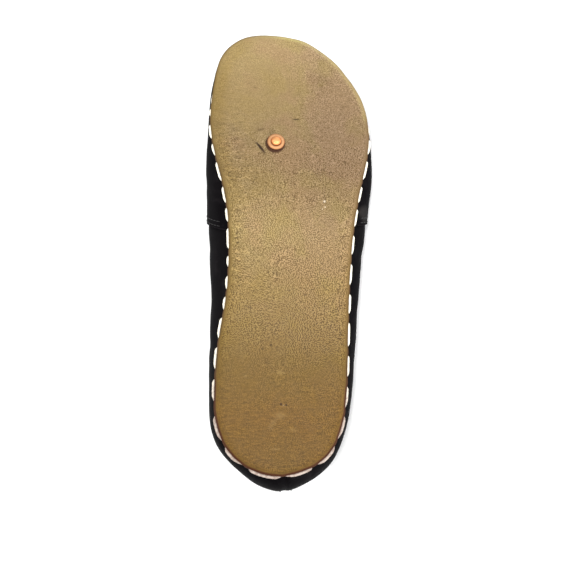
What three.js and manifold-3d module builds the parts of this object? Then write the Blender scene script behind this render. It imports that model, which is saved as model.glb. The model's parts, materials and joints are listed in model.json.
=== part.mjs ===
// A left shoe of the flat, hand-sewn kind, lying on its outer side.
// Lengths are in millimetres. The shoe is worked out standing on its sole: x runs from the end of
// the heel to the toe, y to the outer side of the foot and z up from the flat of the sole. At the
// end it is laid down on its outer side, on the swell and the flank of the upper.

import * as THREE from 'three';
import { ConvexHull } from 'three/addons/math/ConvexHull.js';
import { mergeVertices } from 'three/addons/utils/BufferGeometryUtils.js';
import Module from 'manifold-3d';

const soleLength = 275;
const ballWidth = 95;
const soleThickness = 4;
const toeSpring = 25;
const springStart = 0.53 * soleLength;
const rimWidth = 12;

const heelHeight = 60;
const instepHeight = 64;
const waistSwell = 10;
const upperWall = 1.7;
const vampStep = 1.2;
const vampStepLength = 38;
const vampFootOuter = 0.524 * soleLength;
const vampFootInner = 0.507 * soleLength;
const vampTop = 0.607 * soleLength;
const backSeamAcross = 0.047 * ballWidth;
const backSeamDepth = 0.7;
const backSeamWidth = 7;
const seatInset = 2.6;

const insoleThickness = 2.5;
const fitGap = 0.3;

const rivetAlong = 0.708 * soleLength;
const rivetAcross = -0.017 * ballWidth;
const shankDiameter = 4;
const peenDiameter = 6;
const peenHeight = 1.3;
const burrDiameter = 10.8;
const burrThickness = 1;
const rivetHeadDiameter = 9;
const rivetHeadThickness = 1.1;
const rivetPlay = 0.25;

// Plan of the sole, a row for each section from heel to toe. along is a share of the sole's
// length; outer and inner are the two edges as shares of the ball's width; swellOuter and
// swellInner say how far the upper stands out past them, as shares of the swell at the waist.
const planSections = [
  { name: 'heel end', along: 0, outer: 0, inner: 0, swellOuter: 0.84, swellInner: 0.84 },
  { name: 'heel back', along: 0.022, outer: 0.210, inner: 0.189, swellOuter: 0.79, swellInner: 0.55 },
  { name: 'heel turn', along: 0.065, outer: 0.334, inner: 0.314, swellOuter: 0.59, swellInner: 0.47 },
  { name: 'heel', along: 0.12, outer: 0.393, inner: 0.373, swellOuter: 0.51, swellInner: 0.39 },
  { name: 'heel front', along: 0.19, outer: 0.413, inner: 0.378, swellOuter: 0.58, swellInner: 0.41 },
  { name: 'arch back', along: 0.27, outer: 0.421, inner: 0.361, swellOuter: 0.69, swellInner: 0.58 },
  { name: 'arch', along: 0.35, outer: 0.429, inner: 0.324, swellOuter: 0.80, swellInner: 0.83 },
  { name: 'waist', along: 0.43, outer: 0.443, inner: 0.305, swellOuter: 0.85, swellInner: 1.00 },
  { name: 'waist front', along: 0.51, outer: 0.464, inner: 0.307, swellOuter: 0.95, swellInner: 1.12 },
  { name: 'instep', along: 0.585, outer: 0.500, inner: 0.331, swellOuter: 0.83, swellInner: 1.04 },
  { name: 'ball back', along: 0.65, outer: 0.542, inner: 0.376, swellOuter: 0.75, swellInner: 0.82 },
  { name: 'ball', along: 0.71, outer: 0.574, inner: 0.414, swellOuter: 0.43, swellInner: 0.48 },
  { name: 'ball front', along: 0.77, outer: 0.574, inner: 0.431, swellOuter: 0.22, swellInner: 0.22 },
  { name: 'toes back', along: 0.83, outer: 0.535, inner: 0.422, swellOuter: 0.16, swellInner: 0.20 },
  { name: 'toes', along: 0.885, outer: 0.455, inner: 0.403, swellOuter: 0.12, swellInner: 0.14 },
  { name: 'toes front', along: 0.93, outer: 0.367, inner: 0.371, swellOuter: 0.10, swellInner: 0.11 },
  { name: 'toe turn', along: 0.965, outer: 0.260, inner: 0.308, swellOuter: 0.08, swellInner: 0.10 },
  { name: 'toe front', along: 0.99, outer: 0.139, inner: 0.214, swellOuter: 0.07, swellInner: 0.08 },
  { name: 'toe end', along: 1, outer: -0.068, inner: 0.068, swellOuter: 0.06, swellInner: 0.06 },
];

// Rise of the upper over the same sections. shoulder is the height at which the side wall begins
// to turn in, crown the height it is led to on its way to the mouth and reach how far along that
// way this is; mouthAlong, mouthOuter and mouthInner place the mouth's edge in plan. Heights are
// shares of the instep's height.
const riseSections = [
  { shoulder: 0.22, crown: 0.55, reach: 0.42, mouthAlong: 0.034, mouthOuter: 0, mouthInner: 0 },
  { shoulder: 0.22, crown: 0.55, reach: 0.42, mouthAlong: 0.046, mouthOuter: 0.150, mouthInner: 0.140 },
  { shoulder: 0.23, crown: 0.55, reach: 0.42, mouthAlong: 0.084, mouthOuter: 0.245, mouthInner: 0.230 },
  { shoulder: 0.24, crown: 0.53, reach: 0.42, mouthAlong: 0.138, mouthOuter: 0.292, mouthInner: 0.270 },
  { shoulder: 0.26, crown: 0.50, reach: 0.43, mouthAlong: 0.205, mouthOuter: 0.308, mouthInner: 0.280 },
  { shoulder: 0.27, crown: 0.47, reach: 0.44, mouthAlong: 0.285, mouthOuter: 0.312, mouthInner: 0.275 },
  { shoulder: 0.28, crown: 0.46, reach: 0.45, mouthAlong: 0.368, mouthOuter: 0.308, mouthInner: 0.262 },
  { shoulder: 0.29, crown: 0.48, reach: 0.46, mouthAlong: 0.450, mouthOuter: 0.300, mouthInner: 0.245 },
  { shoulder: 0.29, crown: 0.51, reach: 0.47, mouthAlong: 0.528, mouthOuter: 0.282, mouthInner: 0.225 },
  { shoulder: 0.29, crown: 0.55, reach: 0.48, mouthAlong: 0.592, mouthOuter: 0.250, mouthInner: 0.198 },
  { shoulder: 0.28, crown: 0.58, reach: 0.49, mouthAlong: 0.634, mouthOuter: 0.205, mouthInner: 0.160 },
  { shoulder: 0.27, crown: 0.61, reach: 0.50, mouthAlong: 0.657, mouthOuter: 0.158, mouthInner: 0.122 },
  { shoulder: 0.26, crown: 0.64, reach: 0.50, mouthAlong: 0.668, mouthOuter: 0.116, mouthInner: 0.092 },
  { shoulder: 0.26, crown: 0.68, reach: 0.50, mouthAlong: 0.674, mouthOuter: 0.080, mouthInner: 0.068 },
  { shoulder: 0.26, crown: 0.72, reach: 0.50, mouthAlong: 0.677, mouthOuter: 0.051, mouthInner: 0.048 },
  { shoulder: 0.26, crown: 0.76, reach: 0.50, mouthAlong: 0.679, mouthOuter: 0.029, mouthInner: 0.032 },
  { shoulder: 0.26, crown: 0.80, reach: 0.50, mouthAlong: 0.680, mouthOuter: 0.012, mouthInner: 0.020 },
  { shoulder: 0.26, crown: 0.82, reach: 0.50, mouthAlong: 0.681, mouthOuter: -0.001, mouthInner: 0.011 },
  { shoulder: 0.26, crown: 0.83, reach: 0.50, mouthAlong: 0.681, mouthOuter: -0.005, mouthInner: 0.005 },
];

// Height of the mouth's edge, from its back to its front.
const mouthHeights = [
  { at: 0, height: heelHeight },
  { at: 0.12, height: 0.97 * heelHeight },
  { at: 0.30, height: 0.87 * heelHeight },
  { at: 0.44, height: 0.87 * heelHeight },
  { at: 0.60, height: 0.95 * instepHeight },
  { at: 0.69, height: instepHeight },
];

// Section through the rim of the sole, from the middle outwards. inset is a share of the rim's
// width, under and over are the two faces as shares of the sole's thickness.
const rimSections = [
  { inset: 1, under: 0, over: 1 },
  { inset: 0.60, under: 0.02, over: 1.02 },
  { inset: 0.34, under: 0.09, over: 1.08 },
  { inset: 0.17, under: 0.22, over: 1.14 },
  { inset: 0.07, under: 0.40, over: 1.10 },
  { inset: 0.015, under: 0.58, over: 0.98 },
];
const rimMiddle = 0.78;

const lastRow = planSections.length - 1;
const turnCount = 2 * lastRow;

// Smooth closed curve through one value for each turn round the shoe.
function smoothLoop(values) {
  const count = values.length;
  const knots = values.slice();
  for (let pass = 0; pass < 30; pass += 1) {
    for (let i = 0; i < count; i += 1) {
      knots[i] = (6 * values[i] - knots[(i + count - 1) % count] - knots[(i + 1) % count]) / 4;
    }
  }
  return (turn) => {
    const whole = Math.floor(turn);
    const t = turn - whole;
    const knot = (step) => knots[(((whole + step) % count) + count) % count];
    const s = 1 - t;
    return (
      (s * s * s * knot(-1) +
        (3 * t * t * t - 6 * t * t + 4) * knot(0) +
        (3 * s * s * s - 6 * s * s + 4) * knot(1) +
        t * t * t * knot(2)) / 6
    );
  };
}

// Loop made from a table: the outer side's column going to the toe, the inner side's coming back.
function sideLoop(table, outerValue, innerValue) {
  const values = [];
  for (let turn = 0; turn < turnCount; turn += 1) {
    const row = turn <= lastRow ? turn : turnCount - turn;
    values.push(turn <= lastRow ? outerValue(table[row]) : innerValue(table[row]));
  }
  return smoothLoop(values);
}

const alongLoop = sideLoop(planSections, (row) => row.along, (row) => row.along);
const acrossLoop = sideLoop(planSections, (row) => row.outer, (row) => -row.inner);
const swellLoop = sideLoop(planSections, (row) => row.swellOuter, (row) => row.swellInner);
const shoulderLoop = sideLoop(riseSections, (row) => row.shoulder, (row) => row.shoulder);
const crownLoop = sideLoop(riseSections, (row) => row.crown, (row) => row.crown);
const reachLoop = sideLoop(riseSections, (row) => row.reach, (row) => row.reach);
const mouthAlongLoop = sideLoop(riseSections, (row) => row.mouthAlong, (row) => row.mouthAlong);
const mouthAcrossLoop = sideLoop(riseSections, (row) => row.mouthOuter, (row) => -row.mouthInner);

function smoothStep(from, to, value) {
  const t = Math.min(1, Math.max(0, (value - from) / (to - from)));
  return t * t * (3 - 2 * t);
}

// Value of a table's column between its rows, eased from row to row.
function eased(table, key, column, value) {
  let below = table[0];
  for (const row of table) {
    if (row[key] <= value) {
      below = row;
      continue;
    }
    const share = smoothStep(below[key], row[key], value);
    return below[column] + share * (row[column] - below[column]);
  }
  return below[column];
}

// Height of the sole's under face above the floor it would stand on: flat, then rising to the toe.
function springHeight(x) {
  const rise = Math.max(0, (x - springStart) / (soleLength - springStart));
  return toeSpring * rise * rise;
}

function outline(turn) {
  return new THREE.Vector2(alongLoop(turn) * soleLength, acrossLoop(turn) * ballWidth);
}

// Outward direction of the sole's edge, in plan.
function outward(turn) {
  const step = outline(turn + 0.01).sub(outline(turn - 0.01)).normalize();
  return new THREE.Vector2(-step.y, step.x);
}

// Point of the sole's middle line that a point of the edge is joined to.
function spine(turn) {
  const middle = (acrossLoop(turn) + acrossLoop(turnCount - turn)) / 2;
  return new THREE.Vector2((0.12 + 0.76 * alongLoop(turn)) * soleLength, middle * ballWidth);
}

// Point in plan that lies a given way in from the edge, on the line to the middle.
function insetPoint(turn, inset) {
  const edge = outline(turn);
  const centre = spine(turn);
  return edge.lerp(centre, Math.min(1, inset / edge.distanceTo(centre)));
}

function rimHeight(inset, column) {
  const share = inset / rimWidth;
  let inner = rimSections[0];
  for (const row of rimSections) {
    if (share >= row.inset) {
      if (row === inner) {
        return row[column] * soleThickness;
      }
      const part = (share - row.inset) / (inner.inset - row.inset);
      return (row[column] + part * (inner[column] - row[column])) * soleThickness;
    }
    inner = row;
  }
  return inner[column] * soleThickness;
}

function soleTop(x, inset) {
  return springHeight(x) + rimHeight(inset, 'over');
}

function ribAt(turn) {
  const edge = outline(turn);
  const out = outward(turn);
  const swell = swellLoop(turn) * waistSwell;
  const seat = edge.clone().addScaledVector(out, -seatInset);
  const mouthX = mouthAlongLoop(turn) * soleLength;
  const mouth = new THREE.Vector2(mouthX, mouthAcrossLoop(turn) * ballWidth);
  const wayIn = edge.clone().sub(mouth).dot(out);
  const shoulder = edge.clone().addScaledVector(out, 2 * swell + 0.17 * wayIn);
  const crown = shoulder.clone().lerp(mouth, reachLoop(turn));
  const floor = springHeight(edge.x);
  const mouthZ = eased(mouthHeights, 'at', 'height', mouthAlongLoop(turn));
  return [
    new THREE.Vector3(seat.x, seat.y, soleTop(seat.x, seatInset) + fitGap),
    new THREE.Vector3(shoulder.x, shoulder.y, floor + soleThickness + shoulderLoop(turn) * instepHeight),
    new THREE.Vector3(crown.x, crown.y, crownLoop(turn) * instepHeight + 0.25 * floor),
    new THREE.Vector3(mouth.x, mouth.y, mouthZ),
  ];
}

// Point of the upper's plain outer face: height runs from 0 at the sole to 1 at the mouth.
function upperPoint(turn, height) {
  const [seat, shoulder, crown, mouth] = ribAt(turn);
  const t = height;
  const s = 1 - t;
  return seat.multiplyScalar(s * s * s)
    .addScaledVector(shoulder, 3 * s * s * t)
    .addScaledVector(crown, 3 * s * t * t)
    .addScaledVector(mouth, t * t * t);
}

function upperNormal(turn, height) {
  const h = Math.min(0.998, Math.max(0.002, height));
  const round = upperPoint(turn + 0.02, h).sub(upperPoint(turn - 0.02, h));
  const up = upperPoint(turn, h + 0.002).sub(upperPoint(turn, h - 0.002));
  return up.cross(round).normalize();
}

// Turn between two others at which a rising loop reaches a value.
function turnWhere(loop, value, from, to) {
  let low = from;
  let high = to;
  for (let pass = 0; pass < 40; pass += 1) {
    const middle = (low + high) / 2;
    if (loop(middle) < value) {
      low = middle;
    } else {
      high = middle;
    }
  }
  return (low + high) / 2;
}

// The front part's two edges, each with its turn at the sole and at the mouth.
const footTurns = [vampFootOuter, vampFootInner].map(
  (along) => turnWhere(alongLoop, along / soleLength, 0, lastRow),
);
const topTurn = turnWhere(mouthAlongLoop, vampTop / soleLength, 0, lastRow);
const outerEdge = { foot: footTurns[0], top: topTurn };
const innerEdge = { foot: turnCount - footTurns[1], top: turnCount - topTurn };

function edgeTurn(edge, height) {
  return edge.foot + height * (edge.top - edge.foot);
}

// Turn of a section at a given height: near the front part's edges the sections lean with them.
function leaned(turn, height) {
  const reach = 4;
  let result = turn;
  for (const edge of [outerEdge, innerEdge]) {
    const away = Math.min(1, Math.abs(turn - edgeTurn(edge, 0.5)) / reach);
    const share = 0.5 + 0.5 * Math.cos(Math.PI * away);
    result += share * (edgeTurn(edge, height) - edgeTurn(edge, 0.5));
  }
  return result;
}

// The seam down the back of the heel: its turn and how many turns half of its groove takes.
const backTurn = turnWhere(acrossLoop, backSeamAcross / ballWidth, -1, 2);
const backHalf = turnWhere(acrossLoop, (backSeamAcross + backSeamWidth / 2) / ballWidth, -1, 2) - backTurn;

// How far the upper's face stands out past its plain form: the front part lies over the side
// parts with a raised edge, and the two side parts meet in a groove down the back of the heel.
function faceLift(turn, height) {
  const seam = edgeTurn(turn < lastRow ? outerEdge : innerEdge, height);
  let lift = 0;
  if (Math.abs(turn - lastRow) < Math.abs(seam - lastRow)) {
    const fromStep = (alongLoop(turn) - alongLoop(seam)) * soleLength;
    lift = vampStep * (1 - 0.6 * smoothStep(0, vampStepLength, fromStep));
  }
  if (turn < 2 || turn > turnCount - 2) {
    const fromSeam = Math.abs(outline(turn).y - backSeamAcross);
    lift -= backSeamDepth * (1 - smoothStep(0, backSeamWidth / 2, fromSeam));
  }
  return lift;
}

function upperFace(turn, height) {
  const normal = upperNormal(turn, height);
  const lift = faceLift(turn, height) * smoothStep(0, 0.14, height);
  return upperPoint(turn, height).addScaledVector(normal, lift);
}

function upperLining(turn, height) {
  const normal = upperNormal(turn, height);
  return upperPoint(turn, height).addScaledVector(normal, -upperWall);
}

// Closed body from rings of points that each have the same number of points.
function ringBody(rings, joined) {
  const positions = [];
  const indices = [];
  const count = rings[0].length;
  for (const ring of rings) {
    for (const point of ring) {
      positions.push(point.x, point.y, point.z);
    }
  }
  const strips = joined ? rings.length : rings.length - 1;
  for (let i = 0; i < strips; i += 1) {
    const low = i * count;
    const high = ((i + 1) % rings.length) * count;
    for (let j = 0; j < count; j += 1) {
      const next = (j + 1) % count;
      indices.push(low + j, low + next, high + next);
      indices.push(low + j, high + next, high + j);
    }
  }
  const geometry = new THREE.BufferGeometry();
  geometry.setAttribute('position', new THREE.Float32BufferAttribute(positions, 3));
  geometry.setIndex(indices);
  return closedBody(geometry);
}

function closedBody(geometry) {
  const merged = mergeVertices(geometry, 1e-4);
  const faces = [];
  const index = merged.getIndex();
  for (let i = 0; i < index.count; i += 3) {
    const [a, b, c] = [index.getX(i), index.getX(i + 1), index.getX(i + 2)];
    if (a !== b && b !== c && a !== c) {
      faces.push(a, b, c);
    }
  }
  merged.setIndex(faces);
  return bodyVolume(merged).volume < 0 ? turnedOut(merged) : merged;
}

function turnedOut(geometry) {
  const index = geometry.getIndex();
  const faces = [];
  for (let i = 0; i < index.count; i += 3) {
    faces.push(index.getX(i), index.getX(i + 2), index.getX(i + 1));
  }
  geometry.setIndex(faces);
  return geometry;
}

function bodyVolume(geometry) {
  const index = geometry.getIndex();
  const position = geometry.getAttribute('position');
  const corners = [new THREE.Vector3(), new THREE.Vector3(), new THREE.Vector3()];
  const moment = new THREE.Vector3();
  let volume = 0;
  for (let i = 0; i < index.count; i += 3) {
    corners.forEach((corner, k) => corner.fromBufferAttribute(position, index.getX(i + k)));
    const [a, b, c] = corners;
    const part = a.dot(b.clone().cross(c)) / 6;
    volume += part;
    moment.add(a.clone().add(b).add(c).multiplyScalar(part / 4));
  }
  return { volume, moment };
}

// Turns of the sections that make up a body, with closer ones at the toe and heel.
function spacedTurns(perRow) {
  const turns = [];
  for (let i = 0; i < turnCount * perRow; i += 1) {
    turns.push(i / perRow);
  }
  return turns;
}

// Turns of the upper's sections: evenly spaced ones, and closer ones at the step and the groove.
function upperTurns() {
  const close = [-1, -0.5, 0, 0.5, 1].map((share) => (backTurn + share * backHalf + turnCount) % turnCount);
  for (const edge of [outerEdge, innerEdge]) {
    const turn = edgeTurn(edge, 0.5);
    close.push(turn - 0.012, turn + 0.012);
  }
  const apart = (a, b) => Math.min(Math.abs(a - b), turnCount - Math.abs(a - b));
  const even = spacedTurns(2.5).filter((turn) => close.every((other) => apart(turn, other) > 0.12));
  return [...even, ...close].sort((a, b) => a - b);
}

function makeUpper() {
  const turns = upperTurns();
  const heights = [0, 0.05, 0.12, 0.2, 0.29, 0.38, 0.47, 0.56, 0.65, 0.74, 0.83, 0.92, 1];
  const ring = (face, height) => turns.map((turn) => face(leaned(turn, height), height));
  const rings = heights.map((height) => ring(upperFace, height));
  const lip = turns.map((sectionTurn) => {
    const turn = leaned(sectionTurn, 1);
    const up = upperPoint(turn, 1).sub(upperPoint(turn, 0.99)).normalize();
    const middle = upperFace(turn, 1).lerp(upperLining(turn, 1), 0.5);
    return middle.addScaledVector(up, 0.45 * upperWall);
  });
  rings.push(lip);
  for (const height of [...heights].reverse()) {
    rings.push(ring(upperLining, height));
  }
  return ringBody(rings, true);
}

function makeOutsole() {
  const turns = spacedTurns(2.5);
  const ring = (inset, column, share) => turns.map((turn) => {
    const point = inset === null ? spine(turn) : insetPoint(turn, inset);
    const lift = share === undefined ? rimHeight(inset === null ? rimWidth : inset, column)
      : share * soleThickness;
    return new THREE.Vector3(point.x, point.y, springHeight(point.x) + lift);
  });
  const rings = [ring(null, 'under')];
  for (const row of rimSections) {
    rings.push(ring(row.inset * rimWidth, 'under'));
  }
  rings.push(ring(0, 'under', rimMiddle));
  for (const row of [...rimSections].reverse()) {
    rings.push(ring(row.inset * rimWidth, 'over'));
  }
  rings.push(ring(null, 'over'));
  return ringBody(rings, false);
}

const insoleInset = seatInset + upperWall + 2 * fitGap;

function makeInsole() {
  const turns = spacedTurns(2);
  const ring = (inset, lift) => turns.map((turn) => {
    const point = inset === null ? spine(turn) : insetPoint(turn, inset);
    const bed = soleTop(point.x, inset === null ? rimWidth : inset);
    return new THREE.Vector3(point.x, point.y, bed + fitGap + lift);
  });
  const rounding = 0.3 * insoleThickness;
  const rings = [
    ring(null, 0),
    ring(rimWidth, 0),
    ring(insoleInset, 0),
    ring(insoleInset, insoleThickness - rounding),
    ring(insoleInset + rounding, insoleThickness),
    ring(rimWidth, insoleThickness),
    ring(null, insoleThickness),
  ];
  return ringBody(rings, false);
}

// Turned parts stand on the sole's face at the rivet, the positive y of the profile into the shoe.
const rivetSlope = (springHeight(rivetAlong + 0.5) - springHeight(rivetAlong - 0.5));
const rivetAxis = new THREE.Vector3(-rivetSlope, 0, 1).normalize();
const rivetSeat = new THREE.Vector3(rivetAlong, rivetAcross, springHeight(rivetAlong));

function turnedPart(profile) {
  const points = profile.map(([radius, height]) => new THREE.Vector2(radius, height));
  const geometry = new THREE.LatheGeometry(points, 28);
  geometry.deleteAttribute('normal');
  geometry.deleteAttribute('uv');
  const spin = new THREE.Quaternion().setFromUnitVectors(new THREE.Vector3(0, 1, 0), rivetAxis);
  geometry.applyQuaternion(spin);
  geometry.translate(rivetSeat.x, rivetSeat.y, rivetSeat.z);
  return closedBody(geometry);
}

const stackHeight = soleThickness + fitGap + insoleThickness;

function makeRivet() {
  const shank = shankDiameter / 2;
  const headTop = stackHeight + fitGap + rivetHeadThickness;
  const burrBottom = -fitGap - burrThickness;
  const peenTop = burrBottom - rivetPlay;
  return turnedPart([
    [0, peenTop - peenHeight],
    [0.22 * peenDiameter, peenTop - 0.93 * peenHeight],
    [0.40 * peenDiameter, peenTop - 0.66 * peenHeight],
    [0.49 * peenDiameter, peenTop - 0.28 * peenHeight],
    [0.5 * peenDiameter, peenTop],
    [shank, peenTop],
    [shank, stackHeight + fitGap],
    [rivetHeadDiameter / 2, stackHeight + fitGap],
    [rivetHeadDiameter / 2 - 0.1, headTop - 0.35],
    [rivetHeadDiameter / 2 - 0.8, headTop],
    [0, headTop],
  ]);
}

function makeBurr() {
  const hole = shankDiameter / 2 + rivetPlay;
  const radius = burrDiameter / 2;
  return turnedPart([
    [hole, -fitGap],
    [hole, -fitGap - burrThickness],
    [radius - 0.7, -fitGap - burrThickness],
    [radius - 0.15, -fitGap - 0.7 * burrThickness],
    [radius, -fitGap - 0.3 * burrThickness],
    [radius - 0.1, -fitGap],
    [hole, -fitGap],
  ]);
}

const wasm = await Module();
wasm.setup();

function toSolid(geometry) {
  const position = geometry.getAttribute('position');
  const index = geometry.getIndex();
  return new wasm.Manifold(new wasm.Mesh({
    numProp: 3,
    vertProperties: new Float32Array(position.array),
    triVerts: new Uint32Array(index.array),
  }));
}

function bored(geometry) {
  const radius = shankDiameter / 2 + rivetPlay;
  const reach = 3 * stackHeight;
  const drill = turnedPart([[0, -reach], [radius, -reach], [radius, reach], [0, reach]]);
  const mesh = toSolid(geometry).subtract(toSolid(drill)).getMesh();
  const result = new THREE.BufferGeometry();
  result.setAttribute('position', new THREE.Float32BufferAttribute(mesh.vertProperties, 3));
  result.setIndex(Array.from(mesh.triVerts));
  return result;
}

const pieces = [
  { name: 'outsole', geometry: bored(makeOutsole()), color: 0x9c8050, metalness: 0, roughness: 0.75 },
  { name: 'insole', geometry: bored(makeInsole()), color: 0xa88558, metalness: 0, roughness: 0.8 },
  { name: 'upper', geometry: makeUpper(), color: 0x17171a, metalness: 0, roughness: 0.45 },
  { name: 'burr', geometry: makeBurr(), color: 0xc07a52, metalness: 1, roughness: 0.35 },
  { name: 'rivet', geometry: makeRivet(), color: 0xc98a60, metalness: 1, roughness: 0.35 },
];

// Turn that lays the shoe on its outer side: the face of its hull on that side which its centre
// of mass stands over goes to the floor, and the foot's length then runs along x.
function layingDown(geometries) {
  const points = [];
  const centre = new THREE.Vector3();
  let volume = 0;
  for (const geometry of geometries) {
    const position = geometry.getAttribute('position');
    for (let i = 0; i < position.count; i += 1) {
      points.push(new THREE.Vector3().fromBufferAttribute(position, i));
    }
    const body = bodyVolume(geometry);
    volume += body.volume;
    centre.add(body.moment);
  }
  centre.divideScalar(volume);
  const hull = new ConvexHull().setFromPoints(points);
  let best = null;
  for (const face of hull.faces) {
    const foot = centre.clone().addScaledVector(face.normal, -face.distanceToPoint(centre));
    let inside = Infinity;
    let edge = face.edge;
    do {
      const start = edge.tail().point;
      const way = edge.head().point.clone().sub(start);
      const side = face.normal.clone().cross(way).normalize();
      inside = Math.min(inside, foot.clone().sub(start).dot(side));
      edge = edge.next;
    } while (edge !== face.edge);
    if (face.normal.y > 0.4 && (best === null || inside > best.inside)) {
      best = { inside, normal: face.normal.clone() };
    }
  }
  const toFloor = new THREE.Quaternion().setFromUnitVectors(best.normal, new THREE.Vector3(0, 0, -1));
  const length = new THREE.Vector3(1, 0, 0).applyQuaternion(toFloor);
  const yaw = new THREE.Quaternion().setFromAxisAngle(
    new THREE.Vector3(0, 0, 1),
    -Math.atan2(length.y, length.x),
  );
  return yaw.multiply(toFloor);
}

const shoe = new THREE.Group();
shoe.name = 'barefoot_shoe';
const laid = layingDown(pieces.map((piece) => piece.geometry));
const box = new THREE.Box3();
for (const piece of pieces) {
  piece.geometry.applyQuaternion(laid);
  piece.geometry.computeBoundingBox();
  box.union(piece.geometry.boundingBox);
}
for (const piece of pieces) {
  piece.geometry.translate(
    -(box.min.x + box.max.x) / 2,
    -(box.min.y + box.max.y) / 2,
    -box.min.z,
  );
  const material = new THREE.MeshStandardMaterial({
    color: piece.color,
    metalness: piece.metalness,
    roughness: piece.roughness,
  });
  const mesh = new THREE.Mesh(piece.geometry, material);
  mesh.name = piece.name;
  shoe.add(mesh);
}

export default shoe;
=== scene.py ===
"""Left barefoot shoe of hand-sewn leather, lying on its outer side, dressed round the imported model.

Shapes are worked out in the shoe's own frame, in millimetres: x runs from the end of the heel to
the toe, y to the outer side of the foot and z up from the flat of the sole. ShoeFrame carries them
to the row's frame, in metres.
"""

import json
import logging
import math
import random
from dataclasses import dataclass, field
from enum import Enum
from typing import Callable, Iterable, Sequence, Union

import bmesh
import bpy
import numpy as np
from mathutils import Matrix, Quaternion, Vector, noise


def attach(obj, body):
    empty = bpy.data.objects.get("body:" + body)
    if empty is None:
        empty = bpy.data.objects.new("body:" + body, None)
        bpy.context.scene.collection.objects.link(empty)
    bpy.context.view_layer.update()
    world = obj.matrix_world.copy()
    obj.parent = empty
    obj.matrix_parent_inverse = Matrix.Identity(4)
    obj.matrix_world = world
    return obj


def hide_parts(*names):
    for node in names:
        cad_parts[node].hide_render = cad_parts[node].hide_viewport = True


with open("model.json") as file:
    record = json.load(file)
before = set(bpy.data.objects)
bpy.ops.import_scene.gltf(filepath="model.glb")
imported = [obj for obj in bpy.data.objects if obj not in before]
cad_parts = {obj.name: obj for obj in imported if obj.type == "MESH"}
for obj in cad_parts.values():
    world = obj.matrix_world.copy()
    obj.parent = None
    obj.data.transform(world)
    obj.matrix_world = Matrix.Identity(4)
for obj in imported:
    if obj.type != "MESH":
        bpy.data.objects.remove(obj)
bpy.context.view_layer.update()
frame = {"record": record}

LOG = logging.getLogger("shoe")
Array = np.ndarray
Colour = tuple[float, float, float]
MM = 0.001
SOLE_LENGTH = 275.0


class Side(Enum):
    """A side of the foot, with the sign of y on it."""

    OUTER = 1
    INNER = -1


# Shader expressions


def tint(red: int, green: int, blue: int) -> Colour:
    """Linear colour of a display colour given as 0 to 255."""
    shares = (channel / 255 for channel in (red, green, blue))
    return tuple(v / 12.92 if v <= 0.04045 else ((v + 0.055) / 1.055) ** 2.4 for v in shares)


Operand = Union["Pin", float, Sequence[float]]


def arithmetic(operation: str, reflected: bool = False) -> Callable[["Pin", Operand], "Pin"]:
    """Makes the method behind one of a pin's operators.

    Args:
        operation: The operation's name.
        reflected: Whether the pin stands to the right of the operator.

    Returns:
        The method.
    """
    def method(pin: "Pin", other: Operand) -> "Pin":
        """Works the operation out."""
        pair = (other, pin) if reflected else (pin, other)
        return pin.tree.combine(operation, *pair)

    return method


class Pin:
    """An output socket of a shader tree that takes part in Python expressions."""

    def __init__(self, tree: "Tree", socket: bpy.types.NodeSocket) -> None:
        """Wraps one output socket of a tree."""
        self.tree = tree
        self.socket = socket

    __add__ = arithmetic("ADD")
    __radd__ = arithmetic("ADD", reflected=True)
    __sub__ = arithmetic("SUBTRACT")
    __rsub__ = arithmetic("SUBTRACT", reflected=True)
    __mul__ = arithmetic("MULTIPLY")
    __rmul__ = arithmetic("MULTIPLY", reflected=True)
    __truediv__ = arithmetic("DIVIDE")
    __pow__ = arithmetic("POWER")

    def dot(self, axis: Sequence[float]) -> "Pin":
        """Length of a vector along an axis."""
        return self.tree.node("ShaderNodeVectorMath", {"operation": "DOT_PRODUCT"},
                              {0: self, 1: tuple(axis)}, "Value")

    def ease(self, start: float, end: float) -> "Pin":
        """Smooth rise between two values.

        Args:
            start: Where the result is 0.
            end: Where the result is 1, which may be the lower of the two.

        Returns:
            The result.
        """
        low, high = min(start, end), max(start, end)
        share = self.tree.node(
            "ShaderNodeMapRange", {"interpolation_type": "SMOOTHSTEP"},
            {"Value": self, "From Min": low, "From Max": high, "To Min": 0.0, "To Max": 1.0})
        return share if end > start else 1.0 - share


# Sockets of the mixing node for its share, its two colours and the colour that it gives
MIX_SHARE, MIX_FIRST, MIX_SECOND, MIX_RESULT = 0, 6, 7, 2


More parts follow.
